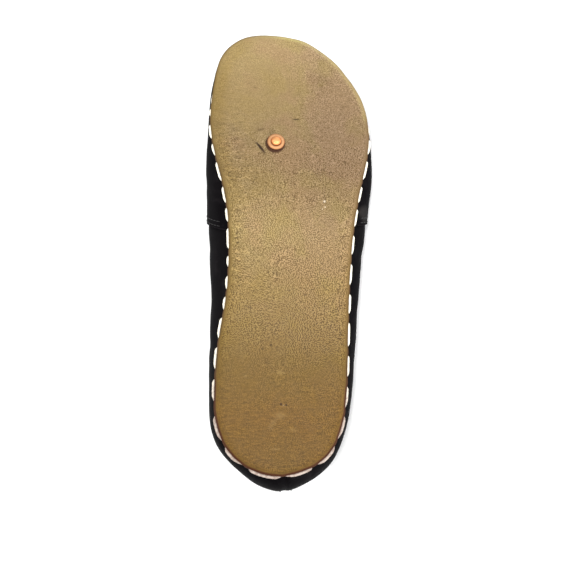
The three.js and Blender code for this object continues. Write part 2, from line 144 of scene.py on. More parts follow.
class Tree:
    """The node tree of one material."""

    def __init__(self, name: str) -> None:
        """Makes a material with an empty tree.

        Args:
            name: The material's name.
        """
        self.material = bpy.data.materials.new(name)
        self.material.use_nodes = True
        self.nodes = self.material.node_tree.nodes
        self.links = self.material.node_tree.links
        self.nodes.clear()

    def plug(self, socket: bpy.types.NodeSocket, value: Operand) -> None:
        """Links a pin to a socket, or sets the socket's own value.

        Args:
            socket: An input socket of the tree.
            value: The pin or the value.
        """
        if isinstance(value, Pin):
            self.links.new(value.socket, socket)
        elif socket.type == "RGBA":
            colour = (value,) * 3 if isinstance(value, (int, float)) else value
            socket.default_value = (*colour, 1.0)[:4]
        else:
            socket.default_value = value

    def node(self, kind: str, settings: dict | None = None, inputs: dict | None = None,
             output: int | str = 0) -> Pin:
        """Adds any node.

        Args:
            kind: The node's type.
            settings: Its properties, or "stops" for a colour ramp; they are set first.
            inputs: Values or pins for its input sockets, by name or number.
            output: The output to return.

        Returns:
            The output as a pin.
        """
        node = self.nodes.new(kind)
        for key, value in (settings or {}).items():
            if key == "stops":
                ramp = node.color_ramp
                while len(ramp.elements) < len(value):
                    ramp.elements.new(0.5)
                for element, (place, colour) in zip(ramp.elements, value):
                    element.position = place
                    element.color = (*colour, 1.0)
            else:
                setattr(node, key, value)
        for key, value in (inputs or {}).items():
            self.plug(node.inputs[key], value)
        return Pin(self, node.outputs[output])

    def combine(self, operation: str, a: Operand, b: Operand) -> Pin:
        """Works out an operation with the node that suits what it is given.

        Args:
            operation: The operation's name.
            a: What stands to the left of the operator.
            b: What stands to its right.

        Returns:
            A colour where either is a colour, else a vector where either is one, else a number.
        """
        kinds = {pin.socket.type for pin in (a, b) if isinstance(pin, Pin)}
        if kinds & {"RGBA", "VECTOR"}:
            a, b = ((value,) * 3 if isinstance(value, (int, float)) else value for value in (a, b))
        if "RGBA" in kinds:
            return self.node("ShaderNodeMix", {"data_type": "RGBA", "blend_type": operation},
                             {MIX_SHARE: 1.0, MIX_FIRST: a, MIX_SECOND: b}, MIX_RESULT)
        kind = "ShaderNodeVectorMath" if "VECTOR" in kinds else "ShaderNodeMath"
        return self.node(kind, {"operation": operation}, {0: a, 1: b})

    def blend(self, share: Operand, a: Operand, b: Operand) -> Pin:
        """Colour a where share is 0 and b where it is 1."""
        return self.node("ShaderNodeMix", {"data_type": "RGBA"},
                         {MIX_SHARE: share, MIX_FIRST: a, MIX_SECOND: b}, MIX_RESULT)

    def noise(self, place: Pin, scale: float, detail: float = 3.0, rough: float = 0.5,
              bend: float = 0.0) -> Pin:
        """Cloudy noise between 0 and 1, scale in clouds per millimetre."""
        return self.node("ShaderNodeTexNoise", None,
                         {"Vector": place, "Scale": scale, "Detail": detail, "Roughness": rough,
                          "Distortion": bend})

    def cells(self, place: Pin, scale: float) -> Pin:
        """Distance to the nearest of scattered points, scale in points per millimetre."""
        return self.node("ShaderNodeTexVoronoi", {"feature": "F1"},
                         {"Vector": place, "Scale": scale, "Randomness": 1.0}, "Distance")

    def field(self, name: str) -> Pin:
        """A number that the mesh carries at each point."""
        return self.node("ShaderNodeAttribute", {"attribute_name": name}, None, "Fac")

    def bump(self, height: Pin, strength: Operand, distance: float,
             below: Pin | None = None) -> Pin:
        """Bends the normal by a height.

        Args:
            height: The height.
            strength: How strongly it shows, from 0 to 1.
            distance: The way in millimetres that a height of 1 stands for.
            below: The normal to bend, where it is already bent.

        Returns:
            The normal.
        """
        inputs = {"Height": height, "Strength": strength, "Distance": distance * MM}
        if below is not None:
            inputs["Normal"] = below
        return self.node("ShaderNodeBump", None, inputs)

    def finish(self, **sockets: Operand) -> bpy.types.Material:
        """Ends the tree in a Principled shader.

        Args:
            **sockets: Values or pins for the shader's sockets, spaces written as underscores.

        Returns:
            The material.
        """
        inputs = {key.replace("_", " "): value for key, value in sockets.items()}
        surface = self.node("ShaderNodeBsdfPrincipled", None, inputs)
        output = self.nodes.new("ShaderNodeOutputMaterial")
        self.links.new(surface.socket, output.inputs["Surface"])
        return self.material


# Curves and directions


def unit(vectors: Array) -> Array:
    """Vectors brought to a length of 1."""
    return vectors / np.linalg.norm(vectors, axis=-1, keepdims=True)


def walk(path: Array) -> Array:
    """Way along a path from its start to each of its points."""
    return np.concatenate([[0], np.cumsum(np.linalg.norm(np.diff(path, axis=0), axis=1))])


def smooth_step(start: Array | float, end: Array | float, value: Array | float) -> Array:
    """0 before start, 1 after end and smooth between, the start being on either side."""
    t = np.clip((np.asarray(value, float) - start) / (end - start), 0, 1)
    return t * t * (3 - 2 * t)


def bell(distance: Array, width: float) -> Array:
    """1 at distance 0, falling smoothly to nothing at about twice the width."""
    return np.exp(-(np.asarray(distance, float) / width) ** 2)


def smooth_loop(values: Sequence[float]) -> Callable[[Array], Array]:
    """Makes a smooth closed curve through one value for each turn round the shoe.

    Args:
        values: The values, the first of them at turn 0.

    Returns:
        The curve, as a function of turns.
    """
    count = len(values)
    knots = list(values)
    for _ in range(30):
        for i in range(count):
            knots[i] = (6 * values[i] - knots[i - 1] - knots[(i + 1) % count]) / 4
    held = np.array(knots)

    def curve(turn: Array) -> Array:
        """Works out the curve.

        Args:
            turn: Turns, in this round or in any other.

        Returns:
            Its value at each turn.
        """
        whole = np.floor(turn).astype(int)
        t = turn - whole
        s = 1 - t
        weights = (s ** 3, 3 * t ** 3 - 6 * t ** 2 + 4, 3 * s ** 3 - 6 * s ** 2 + 4, t ** 3)
        return sum(weight * held[(whole + step) % count]
                   for step, weight in enumerate(weights, -1)) / 6

    return curve


def clouds(points: Array, size: float, seed: float = 0.0) -> Array:
    """Smooth noise over points.

    Args:
        points: The points.
        size: Size of the noise's clouds in millimetres.
        seed: Shift that gives one noise or another.

    Returns:
        Values from -1 to 1.
    """
    flat = np.asarray(points, float).reshape(-1, 3) / size + seed
    values = [noise.noise(Vector(point)) for point in flat]
    return np.array(values).reshape(np.asarray(points).shape[:-1])


# The shoe's frame and form


@dataclass(frozen=True)
class Spot:
    """The shaded point in the shoe's frame, in millimetres, as a vector and one by one."""

    tree: Tree
    point: Pin
    along: Pin
    across: Pin
    height: Pin


@dataclass
class ShoeFrame:
    """The shoe's own frame inside the row's frame, read from the two flats of its sole."""

    heel_share: float = 0.2
    sole_length: float = SOLE_LENGTH

    def __post_init__(self) -> None:
        """Finds the axes and the origin, in millimetres."""
        mounts = {mount["name"]: mount for mount in frame["record"]["mounts"]}
        heel = np.array(mounts["sole_heel"]["pos_m"]) / MM
        waist = np.array(mounts["sole_waist"]["pos_m"]) / MM
        above = -np.array(mounts["sole_heel"]["axis"], float)
        self.length = unit(waist - heel)
        self.up = unit(above - self.length * np.dot(above, self.length))
        self.across = np.cross(self.up, self.length)
        self.origin = heel - self.length * self.heel_share * self.sole_length

    def place(self, points: Array) -> Array:
        """Points of the shoe's frame, in millimetres, as points of the row's frame, in metres."""
        axes = np.array([self.length, self.across, self.up])
        return (np.asarray(points, float) @ axes + self.origin) * MM

    def turn(self, way: Sequence[float]) -> Vector:
        """A direction of the shoe's frame in the row's frame."""
        x, y, z = way
        return Vector(x * self.length + y * self.across + z * self.up).normalized()

    def spot(self, tree: Tree) -> Spot:
        """Finds the shaded point in the shoe's frame.

        Args:
            tree: The tree that needs it.

        Returns:
            The point.
        """
        point = tree.node("ShaderNodeTexCoord", None, None, "Object") * (1 / MM)
        point = point - tuple(self.origin)
        along, across, height = (point.dot(axis) for axis in (self.length, self.across, self.up))
        place = tree.node("ShaderNodeCombineXYZ", None, {0: along, 1: across, 2: height})
        return Spot(tree, place, along, across, height)


# Sections from heel to toe: along, the sole's outer and inner edge, the swell of the upper past
# each of them, then the upper's shoulder, crown and reach, and the mouth's place in plan.
SECTIONS = (
    (-0.003, 0.000, 0.000, 0.76, 0.76, 0.22, 0.55, 0.42, 0.034, 0.000, 0.000),
    (0.022, 0.234, 0.216, 0.65, 0.41, 0.22, 0.55, 0.42, 0.046, 0.150, 0.140),
    (0.065, 0.343, 0.324, 0.51, 0.42, 0.23, 0.55, 0.42, 0.084, 0.245, 0.230),
    (0.120, 0.393, 0.373, 0.51, 0.39, 0.24, 0.53, 0.42, 0.138, 0.292, 0.270),
    (0.190, 0.413, 0.378, 0.58, 0.41, 0.26, 0.50, 0.43, 0.205, 0.308, 0.280),
    (0.270, 0.421, 0.361, 0.69, 0.58, 0.27, 0.47, 0.44, 0.285, 0.312, 0.275),
    (0.350, 0.429, 0.324, 0.80, 0.83, 0.28, 0.46, 0.45, 0.368, 0.308, 0.262),
    (0.430, 0.443, 0.305, 0.85, 1.00, 0.29, 0.48, 0.46, 0.450, 0.300, 0.245),
    (0.510, 0.464, 0.307, 0.95, 1.12, 0.29, 0.51, 0.47, 0.528, 0.282, 0.225),
    (0.585, 0.500, 0.331, 0.83, 1.04, 0.29, 0.55, 0.48, 0.592, 0.250, 0.198),
    (0.650, 0.542, 0.376, 0.75, 0.82, 0.28, 0.58, 0.49, 0.634, 0.205, 0.160),
    (0.710, 0.574, 0.414, 0.43, 0.48, 0.27, 0.61, 0.50, 0.657, 0.158, 0.122),
    (0.770, 0.574, 0.431, 0.22, 0.22, 0.26, 0.64, 0.50, 0.668, 0.116, 0.092),
    (0.830, 0.535, 0.422, 0.16, 0.20, 0.26, 0.68, 0.50, 0.674, 0.080, 0.068),
    (0.885, 0.455, 0.403, 0.12, 0.14, 0.26, 0.72, 0.50, 0.677, 0.051, 0.048),
    (0.930, 0.367, 0.371, 0.10, 0.11, 0.26, 0.76, 0.50, 0.679, 0.029, 0.032),
    (0.965, 0.260, 0.308, 0.08, 0.10, 0.26, 0.80, 0.50, 0.680, 0.012, 0.020),
    (0.990, 0.139, 0.214, 0.07, 0.08, 0.26, 0.82, 0.50, 0.681, -0.001, 0.011),
    (1.000, -0.068, 0.068, 0.06, 0.06, 0.26, 0.83, 0.50, 0.681, -0.005, 0.005),
)


@dataclass
class Last:
    """The form the shoe is made on, with the sizes of the solids."""

    sole_length: float = SOLE_LENGTH
    ball_width: float = 95.0
    sole_thickness: float = 4.0
    toe_spring: float = 25.0
    spring_share: float = 0.53
    rim_width: float = 12.0
    heel_height: float = 60.0
    instep_height: float = 64.0
    waist_swell: float = 10.0
    wall: float = 1.7
    seat_inset: float = 2.6
    gap: float = 0.3
    insole_thickness: float = 2.5
    rim_rounding: tuple[float, ...] = (-0.5, -0.25, 0.0, 0.25, 0.5)
    rim_inset: tuple[float, ...] = (0.0, 0.07, 0.17, 0.34, 0.60, 1.0)
    rim_under: tuple[float, ...] = (0.60, 0.40, 0.22, 0.09, 0.02, 0.0)
    rim_over: tuple[float, ...] = (0.95, 1.10, 1.14, 1.08, 1.02, 1.0)
    overhang: float = 0.17
    # Places of the mouth's edge by their share of the length, then its height there by the
    # share of the heel's height and, for the last two, of the instep's
    mouth_at: tuple[float, ...] = (0.0, 0.12, 0.30, 0.44, 0.60, 0.69)
    mouth_heel: tuple[float, ...] = (1.0, 0.97, 0.87, 0.87)
    mouth_instep: tuple[float, ...] = (0.95, 1.0)

    def __post_init__(self) -> None:
        """Makes the curves round the shoe and measures the sole's edge."""
        self.toe_turn = len(SECTIONS) - 1
        self.turns = 2 * self.toe_turn
        self.along = self.curve(0, 0)
        self.side = self.curve(1, 2, -1.0)
        self.swell = self.curve(3, 4)
        self.shoulder = self.curve(5, 5)
        self.crown = self.curve(6, 6)
        self.reach = self.curve(7, 7)
        self.mouth_along = self.curve(8, 8)
        self.mouth_side = self.curve(9, 10, -1.0)
        self.mouth_high = np.array([share * self.heel_height for share in self.mouth_heel]
                                   + [share * self.instep_height for share in self.mouth_instep])
        self._steps = np.linspace(-self.toe_turn, self.toe_turn, 8001)
        walked = walk(self.outline(self._steps))
        self._walked = walked - np.interp(0, self._steps, walked)
        self.girth = float(walked[-1])

    def curve(self, outer: int, inner: int, sign: float = 1.0) -> Callable[[Array], Array]:
        """Makes a curve round the shoe from the table of sections.

        Args:
            outer: Column for the outer side, from heel to toe.
            inner: Column for the inner side, from toe to heel.
            sign: Sign of the values on the inner side.

        Returns:
            The curve, as a function of turns.
        """
        outward = [row[outer] for row in SECTIONS]
        return smooth_loop(outward + [sign * row[inner] for row in SECTIONS[-2:0:-1]])

    def turn_at(self, way: Array) -> Array:
        """Turns at ways round the sole's edge from the heel's end, outer side positive."""
        first = self._walked[0]
        return np.interp((np.asarray(way, float) - first) % self.girth + first,
                         self._walked, self._steps)

    def way_at(self, turn: Array) -> Array:
        """Ways round the sole's edge from the heel's end to turns."""
        turn = np.where(np.asarray(turn) > self.toe_turn, turn - self.turns, turn)
        return np.interp(turn, self._steps, self._walked)

    def even_turns(self, columns: int) -> Array:
        """Evenly spaced turns, once round the shoe."""
        return np.linspace(0, self.turns, columns, endpoint=False)

    def outline(self, turn: Array) -> Array:
        """Edge of the sole in plan."""
        return np.stack([self.along(turn) * self.sole_length,
                         self.side(turn) * self.ball_width], -1)

    def outward(self, turn: Array) -> Array:
        """Outward direction of the sole's edge in plan."""
        step = unit(self.outline(turn + 0.01) - self.outline(turn - 0.01))
        return np.stack([-step[..., 1], step[..., 0]], -1)

    def spine(self, turn: Array) -> Array:
        """Point of the sole's middle line that each point of the edge is joined to."""
        middle = (self.side(turn) + self.side(self.turns - turn)) / 2
        return np.stack([(0.12 + 0.76 * self.along(turn)) * self.sole_length,
                         middle * self.ball_width], -1)

    def inset_point(self, turn: Array, inset: float, share: float = 1.0) -> Array:
        """Finds points in plan by their way in from the edge.

        Args:
            turn: Turns round the shoe.
            inset: Way in from the edge, on the line to the middle.
            share: Share of the way from the middle to there.

        Returns:
            The points.
        """
        edge, middle = self.outline(turn), self.spine(turn)
        reach = inset / np.linalg.norm(middle - edge, axis=-1, keepdims=True)
        there = edge + (middle - edge) * np.minimum(reach, 1)
        return middle + (there - middle) * share

    def spring(self, x: Array) -> Array:
        """Height of the sole's under face."""
        start = self.spring_share * self.sole_length
        return self.toe_spring * np.maximum(0, (x - start) / (self.sole_length - start)) ** 2

    def rim(self, inset: Array, column: Sequence[float]) -> Array:
        """Height of a face of the sole near its rim, rounded between the table's rows."""
        share = np.maximum(0, inset[..., None] + np.array(self.rim_rounding)) / self.rim_width
        return np.interp(share, self.rim_inset, column).mean(-1) * self.sole_thickness

    def sole_top(self, x: Array, inset: float) -> Array:
        """Height of the sole's upper face, for points at one way in from its edge."""
        return self.spring(x) + self.rim(np.full(np.shape(x), inset), self.rim_over)

    def mouth_height(self, along: Array) -> Array:
        """Finds the height of the mouth's edge.

        Args:
            along: Shares of the sole's length.

        Returns:
            The heights, which ease from each place of the mouth to the next.
        """
        at = np.array(self.mouth_at)
        place = np.clip(np.searchsorted(at, along, side="right") - 1, 0, len(at) - 2)
        share = smooth_step(at[place], at[place + 1], along)
        return self.mouth_high[place] + share * np.diff(self.mouth_high)[place]

    def upper_point(self, turn: Array, height: Array) -> Array:
        """Finds points of the upper's plain outer face.

        Args:
            turn: Turns round the shoe.
            height: Way up the upper, 0 at the sole and 1 at the mouth.

        Returns:
            The points.
        """
        turn, t = np.broadcast_arrays(np.asarray(turn, float), np.asarray(height, float))
        edge, out = self.outline(turn), self.outward(turn)
        seat = edge - out * self.seat_inset
        mouth = np.stack([self.mouth_along(turn) * self.sole_length,
                          self.mouth_side(turn) * self.ball_width], -1)
        way_in = ((edge - mouth) * out).sum(-1)
        shoulder = edge + out * (2 * self.swell(turn) * self.waist_swell
                                 + self.overhang * way_in)[..., None]
        crown = shoulder + (mouth - shoulder) * self.reach(turn)[..., None]
        floor = self.spring(edge[..., 0])
        heights = (
            self.sole_top(seat[..., 0], self.seat_inset) + self.gap,
            floor + self.sole_thickness + self.shoulder(turn) * self.instep_height,
            self.crown(turn) * self.instep_height + 0.25 * floor,
            self.mouth_height(self.mouth_along(turn)),
        )
        s = 1 - t
        weights = (s ** 3, 3 * s * s * t, 3 * s * t * t, t ** 3)
        plan = sum(w[..., None] * p for w, p in zip(weights, (seat, shoulder, crown, mouth)))
        rise = sum(w * h for w, h in zip(weights, heights))
        return np.concatenate([plan, rise[..., None]], -1)

    def upper_normal(self, turn: Array, height: Array) -> Array:
        """Finds the outward normal of the upper's plain face.

        Args:
            turn: Turns round the shoe.
            height: Way up the upper, 0 at the sole and 1 at the mouth.

        Returns:
            The normals.
        """
        turn_step, height_step = 0.02, 0.002
        turn, h = np.broadcast_arrays(np.asarray(turn, float),
                                      np.clip(height, height_step, 1 - height_step))
        around = self.upper_point(turn + turn_step, h) - self.upper_point(turn - turn_step, h)
        up = self.upper_point(turn, h + height_step) - self.upper_point(turn, h - height_step)
        return unit(np.cross(up, around))


# Meshes


def add_object(name: str, data: bpy.types.ID) -> bpy.types.Object:
    """Puts an object into the scene.

    Args:
        name: Its name.
        data: Its mesh, light or camera.

    Returns:
        The object.
    """
    shape = bpy.data.objects.new(name, data)
    bpy.context.scene.collection.objects.link(shape)
    return shape


@dataclass
class Piece:
    """A mesh in the making: points and faces of one visible piece."""

    name: str
    points: list[Array] = field(default_factory=list)
    faces: list[tuple[int, ...]] = field(default_factory=list)
    fields: dict[str, list[Array]] = field(default_factory=dict)
    slots: list[int] = field(default_factory=list)
    count: int = 0

    def rings(self, rings: Array, joined: bool = False, capped: bool = False,
              slots: Sequence[int] | None = None, **fields: Array) -> None:
        """Adds a body made of rings of points.

        Args:
            rings: Points by ring and place round it.
            joined: Whether the last ring meets the first.
            capped: Whether the first and last ring are closed with a face.
            slots: Material slot of the faces after each ring.
            **fields: Numbers carried at the points, with the rings' shape.
        """
        rounds, around = rings.shape[:2]
        base = self.count
        self.points.append(rings.reshape(-1, 3))
        self.count += rounds * around
        for key, values in fields.items():
            self.fields.setdefault(key, []).append(np.asarray(values, float).reshape(-1))
        for i in range(rounds if joined else rounds - 1):
            low, high = base + i * around, base + (i + 1) % rounds * around
            for j in range(around):
                k = (j + 1) % around
                self.faces.append((low + j, low + k, high + k, high + j))
            self.slots.extend([slots[i] if slots else 0] * around)
        if capped:
            self.faces.append(tuple(base + j for j in reversed(range(around))))
            self.faces.append(tuple(base + (rounds - 1) * around + j for j in range(around)))
            self.slots.extend([0, 0])

    def make(self, place: ShoeFrame, materials: Sequence[bpy.types.Material],
             replaced: Iterable[str] = (), sharp: float = 50.0) -> bpy.types.Object:
        """Turns the points into a smooth object that rides on the shoe.

        Args:
            place: The shoe's frame.
            materials: Materials by slot number.
            replaced: The solids that the piece stands for.
            sharp: Edges that bend more than this many degrees stay sharp.

        Returns:
            The object.
        """
        mesh = bpy.data.meshes.new(self.name)
        points = place.place(np.concatenate(self.points))
        mesh.from_pydata(points.tolist(), [], self.faces)
        for key, values in self.fields.items():
            layer = mesh.attributes.new(key, "FLOAT", "POINT")
            layer.data.foreach_set("value", np.concatenate(values).astype(np.float32))
        mesh.polygons.foreach_set("material_index", self.slots)
        work = bmesh.new()
        work.from_mesh(mesh)
        bmesh.ops.remove_doubles(work, verts=work.verts, dist=1e-6)
        bmesh.ops.recalc_face_normals(work, faces=work.faces)
        work.to_mesh(mesh)
        work.free()
        for material in materials:
            mesh.materials.append(material)
        mesh.shade_smooth()
        mesh.set_sharp_from_angle(angle=math.radians(sharp))
        shape = add_object(self.name, mesh)
        if replaced:
            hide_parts(*replaced)
        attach(shape, "root")
        LOG.info("%s: %d faces", self.name, len(mesh.polygons))
        return shape


def thread_rings(path: Array, radius: float, strands: int, twist: float, around: int = 16,
                 taper: tuple[float, float] | None = None) -> Array:
    """Rings of a twisted thread along a path.

    Args:
        path: Points of its middle line.
        radius: Its radius.
        strands: How many strands are laid together.
        twist: Length of one full turn of the strands.
        around: Points round the thread.
        taper: Lengths at its start and its end over which it thins out.

    Returns:
        Points by ring and place round it.
    """
    along = unit(np.gradient(path, axis=0))
    side = unit(np.cross(along, np.array([0.0, 0.0, 1.0])))
    over = np.cross(side, along)
    ways = walk(path)
    angle = np.linspace(0, 2 * np.pi, around, endpoint=False)[None, :]
    groove = np.abs(np.cos(strands / 2 * (angle - 2 * np.pi * ways[:, None] / twist)))
    size = radius * (0.80 + 0.20 * groove ** 0.5)
    if taper:
        ends = np.minimum(ways / taper[0], (ways[-1] - ways) / taper[1])
        size = size * np.clip(ends, 0.10, 1)[:, None] ** 0.6
    return (path[:, None] + size[..., None] * (np.cos(angle)[..., None] * side[:, None]
                                               + np.sin(angle)[..., None] * over[:, None]))


# Finishes


@dataclass(frozen=True)
class Mark:
    """A spot, scuff or scratch on the sole."""

    along: float
    across: float
    length: float
    width: float
    angle: float
    colour: Colour
    strength: float
    ragged: float = 0.5
    soft: float = 0.4


PALE = tint(228, 214, 188)
CREAM = tint(186, 156, 100)
DARK = tint(70, 52, 30)
SCAR = tint(44, 30, 18)
# Painted shadow under the rivet's burr
BURR_SHADOW = tint(54, 24, 10)

MARKS = (
    # Painted shadow round the rivet's burr, set off-centre as a crescent, then scratches and stains
    # at the ball and the toe
    Mark(193.9, -2.1, 7.0, 7.0, 0, BURR_SHADOW, 0.90, 0.05, 0.06),
    Mark(191.2, -10.9, 5.0, 0.90, 142, SCAR, 1.00, 0.25),
    Mark(188.2, -9.4, 2.6, 1.0, 142, DARK, 0.45, 0.7),
    Mark(195.6, -15.2, 2.6, 0.45, 138, DARK, 0.35, 0.5),
    Mark(203.0, -11.0, 3.0, 1.1, 70, DARK, 0.45, 1.0),
    Mark(201.5, -4.0, 2.6, 1.6, 60, DARK, 0.35, 1.0),
    Mark(210.6, 10.7, 2.5, 0.50, 90, SCAR, 0.85, 0.2),
    Mark(211.3, 14.6, 0.5, 0.4, 90, DARK, 0.45, 0.4),
    Mark(214.5, 7.5, 0.6, 0.4, 60, DARK, 0.40, 0.4),
    Mark(232.5, -14.0, 1.0, 0.6, 100, DARK, 0.45, 0.8),
    Mark(238.0, 26.0, 8.0, 6.0, 30, DARK, 0.14, 0.8, 0.9),
    # Pale spots at the waist's outer side
    Mark(157.7, 26.9, 0.85, 0.75, 0, PALE, 0.60, 0.5),
    Mark(154.2, 27.2, 0.45, 0.45, 0, PALE, 0.60, 0.5),
    Mark(153.0, 25.6, 0.35, 0.35, 0, PALE, 0.50, 0.5),
    # Knocks, pale scuffs and stains of the heel
    Mark(56.8, 0.8, 1.5, 1.9, 0, CREAM, 0.14, 1.0, 0.8),
    Mark(56.4, 3.2, 0.6, 0.8, 0, CREAM, 0.14, 0.9),
    Mark(54.6, -18.6, 0.9, 1.0, 0, CREAM, 0.08, 0.9, 0.6),
    Mark(71.4, -6.6, 0.6, 1.0, 30, CREAM, 0.14, 0.9),
    Mark(70.2, -9.2, 0.7, 1.0, 30, SCAR, 0.60, 0.7),
    Mark(72.3, -4.4, 0.8, 0.9, 30, SCAR, 0.60, 0.7),
    Mark(38.9, 1.5, 0.95, 0.85, 0, SCAR, 0.85, 0.3),
    Mark(38.5, 4.4, 0.8, 0.6, 0, SCAR, 0.80, 0.3),
    Mark(38.2, 2.8, 0.5, 0.4, 0, PALE, 0.10, 0.4),
    Mark(28.5, -3.0, 2.6, 1.4, 40, CREAM, 0.10, 1.2, 0.8),
    Mark(25.6, -4.4, 1.6, 0.9, 120, CREAM, 0.06, 1.2, 0.8),
    Mark(32.6, 1.0, 2.0, 3.0, 0, CREAM, 0.12, 1.2, 0.8),
    Mark(24.6, 8.4, 1.1, 2.2, 10, CREAM, 0.08, 1.2, 0.8),
    Mark(26.6, 9.6, 0.6, 0.9, 10, DARK, 0.35, 0.8),
    Mark(14.0, -1.5, 0.7, 3.0, 0, CREAM, 0.08, 1.2),
    # Stains of the arch
    Mark(120.4, 24.6, 0.6, 0.5, 40, DARK, 0.45, 0.6),
    Mark(104.0, 6.0, 0.7, 0.9, 150, DARK, 0.45, 0.7),
    Mark(94.0, -17.0, 0.8, 2.6, 20, DARK, 0.40, 1.0),
    Mark(92.4, -13.4, 0.5, 1.4, 20, CREAM, 0.12, 0.9),
)


@dataclass(frozen=True)
class SoleLeather:
    """Worn, pebbled tan leather of the outsole, darker at the heel, partly as painted shade, and
    warmer at its rim.
    """

    # Colours from heel to toe: the leather's own tone, with painted shade darkening the heel and
    # painted light brightening the toe
    zones: tuple[tuple[float, Colour], ...] = (
        (0.0, tint(94, 69, 26)),
        (0.11, tint(99, 72, 27)),
        (0.22, tint(101, 78, 34)),
        (0.38, tint(122, 99, 54)),
        (0.51, tint(134, 113, 69)),
        (0.64, tint(120, 99, 63)),
        (0.74, tint(125, 105, 70)),
        (0.86, tint(136, 115, 76)),
        (0.97, tint(150, 129, 87)),
    )
    relief: float = 9.2
    pebbles: float = 1.72
    raised: Colour = (1.52, 1.60, 1.95)
    sunken: Colour = (0.44, 0.39, 0.34)
    pit: Colour = tint(84, 64, 34)
    glint: Colour = tint(186, 164, 118)
    warm: Colour = tint(92, 70, 34)
    line: Colour = tint(66, 46, 22)
    heel_line: Colour = tint(62, 26, 10)
    hole: Colour = tint(66, 42, 28)
    rosy: Colour = (1.02, 0.94, 1.06)
    yellow: Colour = (1.0, 1.0, 0.88)
    cooler: Colour = (0.92, 0.92, 0.98)
    inner_edge: Colour = (0.92, 0.89, 0.69)
    # Painted highlight on the toe's rim
    toe_highlight: Colour = (1.40, 1.58, 1.42)
    speckle: float = 0.12
    wrinkled: float = 1.15

    def material(self, place: ShoeFrame, marks: Sequence[Mark]) -> bpy.types.Material:
        """Builds the material.

        Args:
            place: The shoe's frame.
            marks: The spots and scuffs to lay on it.

        Returns:
            The material.
        """
        tree = Tree("sole_leather")
        spot, inset = place.spot(tree), tree.field("inset")
        point, along, across = spot.point, spot.along, spot.across
        cloud = tree.noise(point, 0.15, 4.0, 0.60, 0.5)
        base = self.ground(spot) * (0.90 + 0.20 * cloud)
        # From the arch to the toe the outer side is a little cooler
        base = tree.blend(across.ease(2, 30) * along.ease(118, 152), base, base * self.cooler)

        grain = self.grain_strength(spot, inset)
        pebble = tree.noise(point, self.pebbles, 0.4, 0.5)
        base = self.grained(spot, base, grain, pebble)
        mottle = tree.noise(point, 0.60, 3.0, 0.65) - 0.5
        mottled = 0.20 + 0.60 * along.ease(80, 40)
        base = base * (1.0 + mottle * inset.ease(0.6, 3.4) * mottled)

        # Fine wrinkles run across the heel and, from the arch to the ball, across the inner side
        wrinkle = tree.noise(point * (1.0, 0.20, 1.0), 0.95, 2.0, 0.6)
        inner_band = (1.0 - across.ease(-24, -6)) * along.ease(85, 110) * inset.ease(0.8, 3.0)
        inner_band = inner_band * (1.0 - 0.7 * along.ease(195, 225))
        bands = inner_band + 0.75 * (1.0 - along.ease(40, 70)) + 0.12
        base = base * (1.0 + (wrinkle - 0.5) * self.wrinkled * bands)
        for mark in marks:
            base = tree.blend(self.mask(spot, mark), base, mark.colour)
        base = self.rimmed(spot, inset, cloud, base)

        height = (1.0 - tree.cells(point, 1.05)) * 0.6 + pebble * 0.8
        normal = tree.bump(height, 0.45 * (0.35 + 0.65 * grain), 0.32)
        normal = tree.bump(tree.noise(point, 3.2, 3.0, 0.7), 0.22, 0.16, normal)
        normal = tree.bump(wrinkle, 0.30 * bands, 0.5, normal)
        return tree.finish(Base_Color=base, Roughness=0.60 + 0.14 * cloud - 0.10 * grain,
                           Normal=normal, Specular_IOR_Level=0.20)

    def ground(self, spot: Spot) -> Pin:
        """Mixes the broad colours, from heel to toe and from rosy to yellow.

        Args:
            spot: The shaded point.

        Returns:
            The colour.
        """
        tree = spot.tree
        base = tree.node("ShaderNodeValToRGB", {"stops": self.zones},
                         {0: spot.along / SOLE_LENGTH})
        broad = tree.noise(spot.point, 0.045, 3.0, 0.55, 0.4)
        rosy = (broad + spot.across * 0.004).ease(0.44, 0.66)
        rosy = rosy * (0.25 + 0.55 * spot.along.ease(70, 120))
        base = tree.blend(rosy, base, base * self.rosy)
        return tree.blend((1.0 - broad.ease(0.36, 0.52)) * 0.7, base, base * self.yellow)

    def grain_strength(self, spot: Spot, inset: Pin) -> Pin:
        """Works out how strongly the grain shows: most at the arch, least at heel and toe.

        Args:
            spot: The shaded point.
            inset: Its way in from the edge.

        Returns:
            The strength, about 1 at the arch.
        """
        along, across = spot.along, spot.across
        zone = 0.30 + 0.95 * along.ease(50, 100) * (1.0 - 0.72 * along.ease(108, 160))
        zone = zone - 0.38 * along.ease(170, 225) + 0.18 * along.ease(196, 220) * across.ease(2, 22)
        inner = 0.40 * across.ease(5, -30) * along.ease(140, 115)
        patchy = 0.80 + 0.35 * spot.tree.noise(spot.point, 0.07, 3.0, 0.6).ease(0.34, 0.62)
        return inset.ease(0.6, 3.4) * patchy * zone * (1.0 - inner + 0.20 * across.ease(5, 35))

    def grained(self, spot: Spot, base: Pin, grain: Pin, pebble: Pin) -> Pin:
        """Lays the pebbles of the grain over a colour, with bright specks and dark pits: the grain's
        own light and dark, with painted highlights on raised pebbles and painted shade in sunken
        ones.

        Args:
            spot: The shaded point.
            base: The colour.
            grain: Strength of the grain.
            pebble: Height of its pebbles, 0.5 on the mean.

        Returns:
            The new colour.
        """
        tree = spot.tree
        # Raised pebbles paler and sunken ones darker: painted light and shade of the grain's relief
        # over its own mottling
        swing = grain * (pebble - 0.5) * self.relief
        base = tree.blend(swing, base, base * self.raised)
        base = tree.blend(swing * -1.0, base, base * self.sunken)
        # Bright specks: painted glints on the grain
        sparks = tree.cells(spot.point + (3.1, 7.7, 0.0), 0.85).ease(0.10, 0.34)
        base = tree.blend((1.0 - sparks) * grain * self.speckle, base, self.glint)
        # Dark pits: painted shade in the grain's recesses
        pits = tree.cells(spot.point + (11.3, 2.9, 0.0), 0.75).ease(0.08, 0.30)
        return tree.blend((1.0 - pits) * grain * self.speckle, base, self.pit)

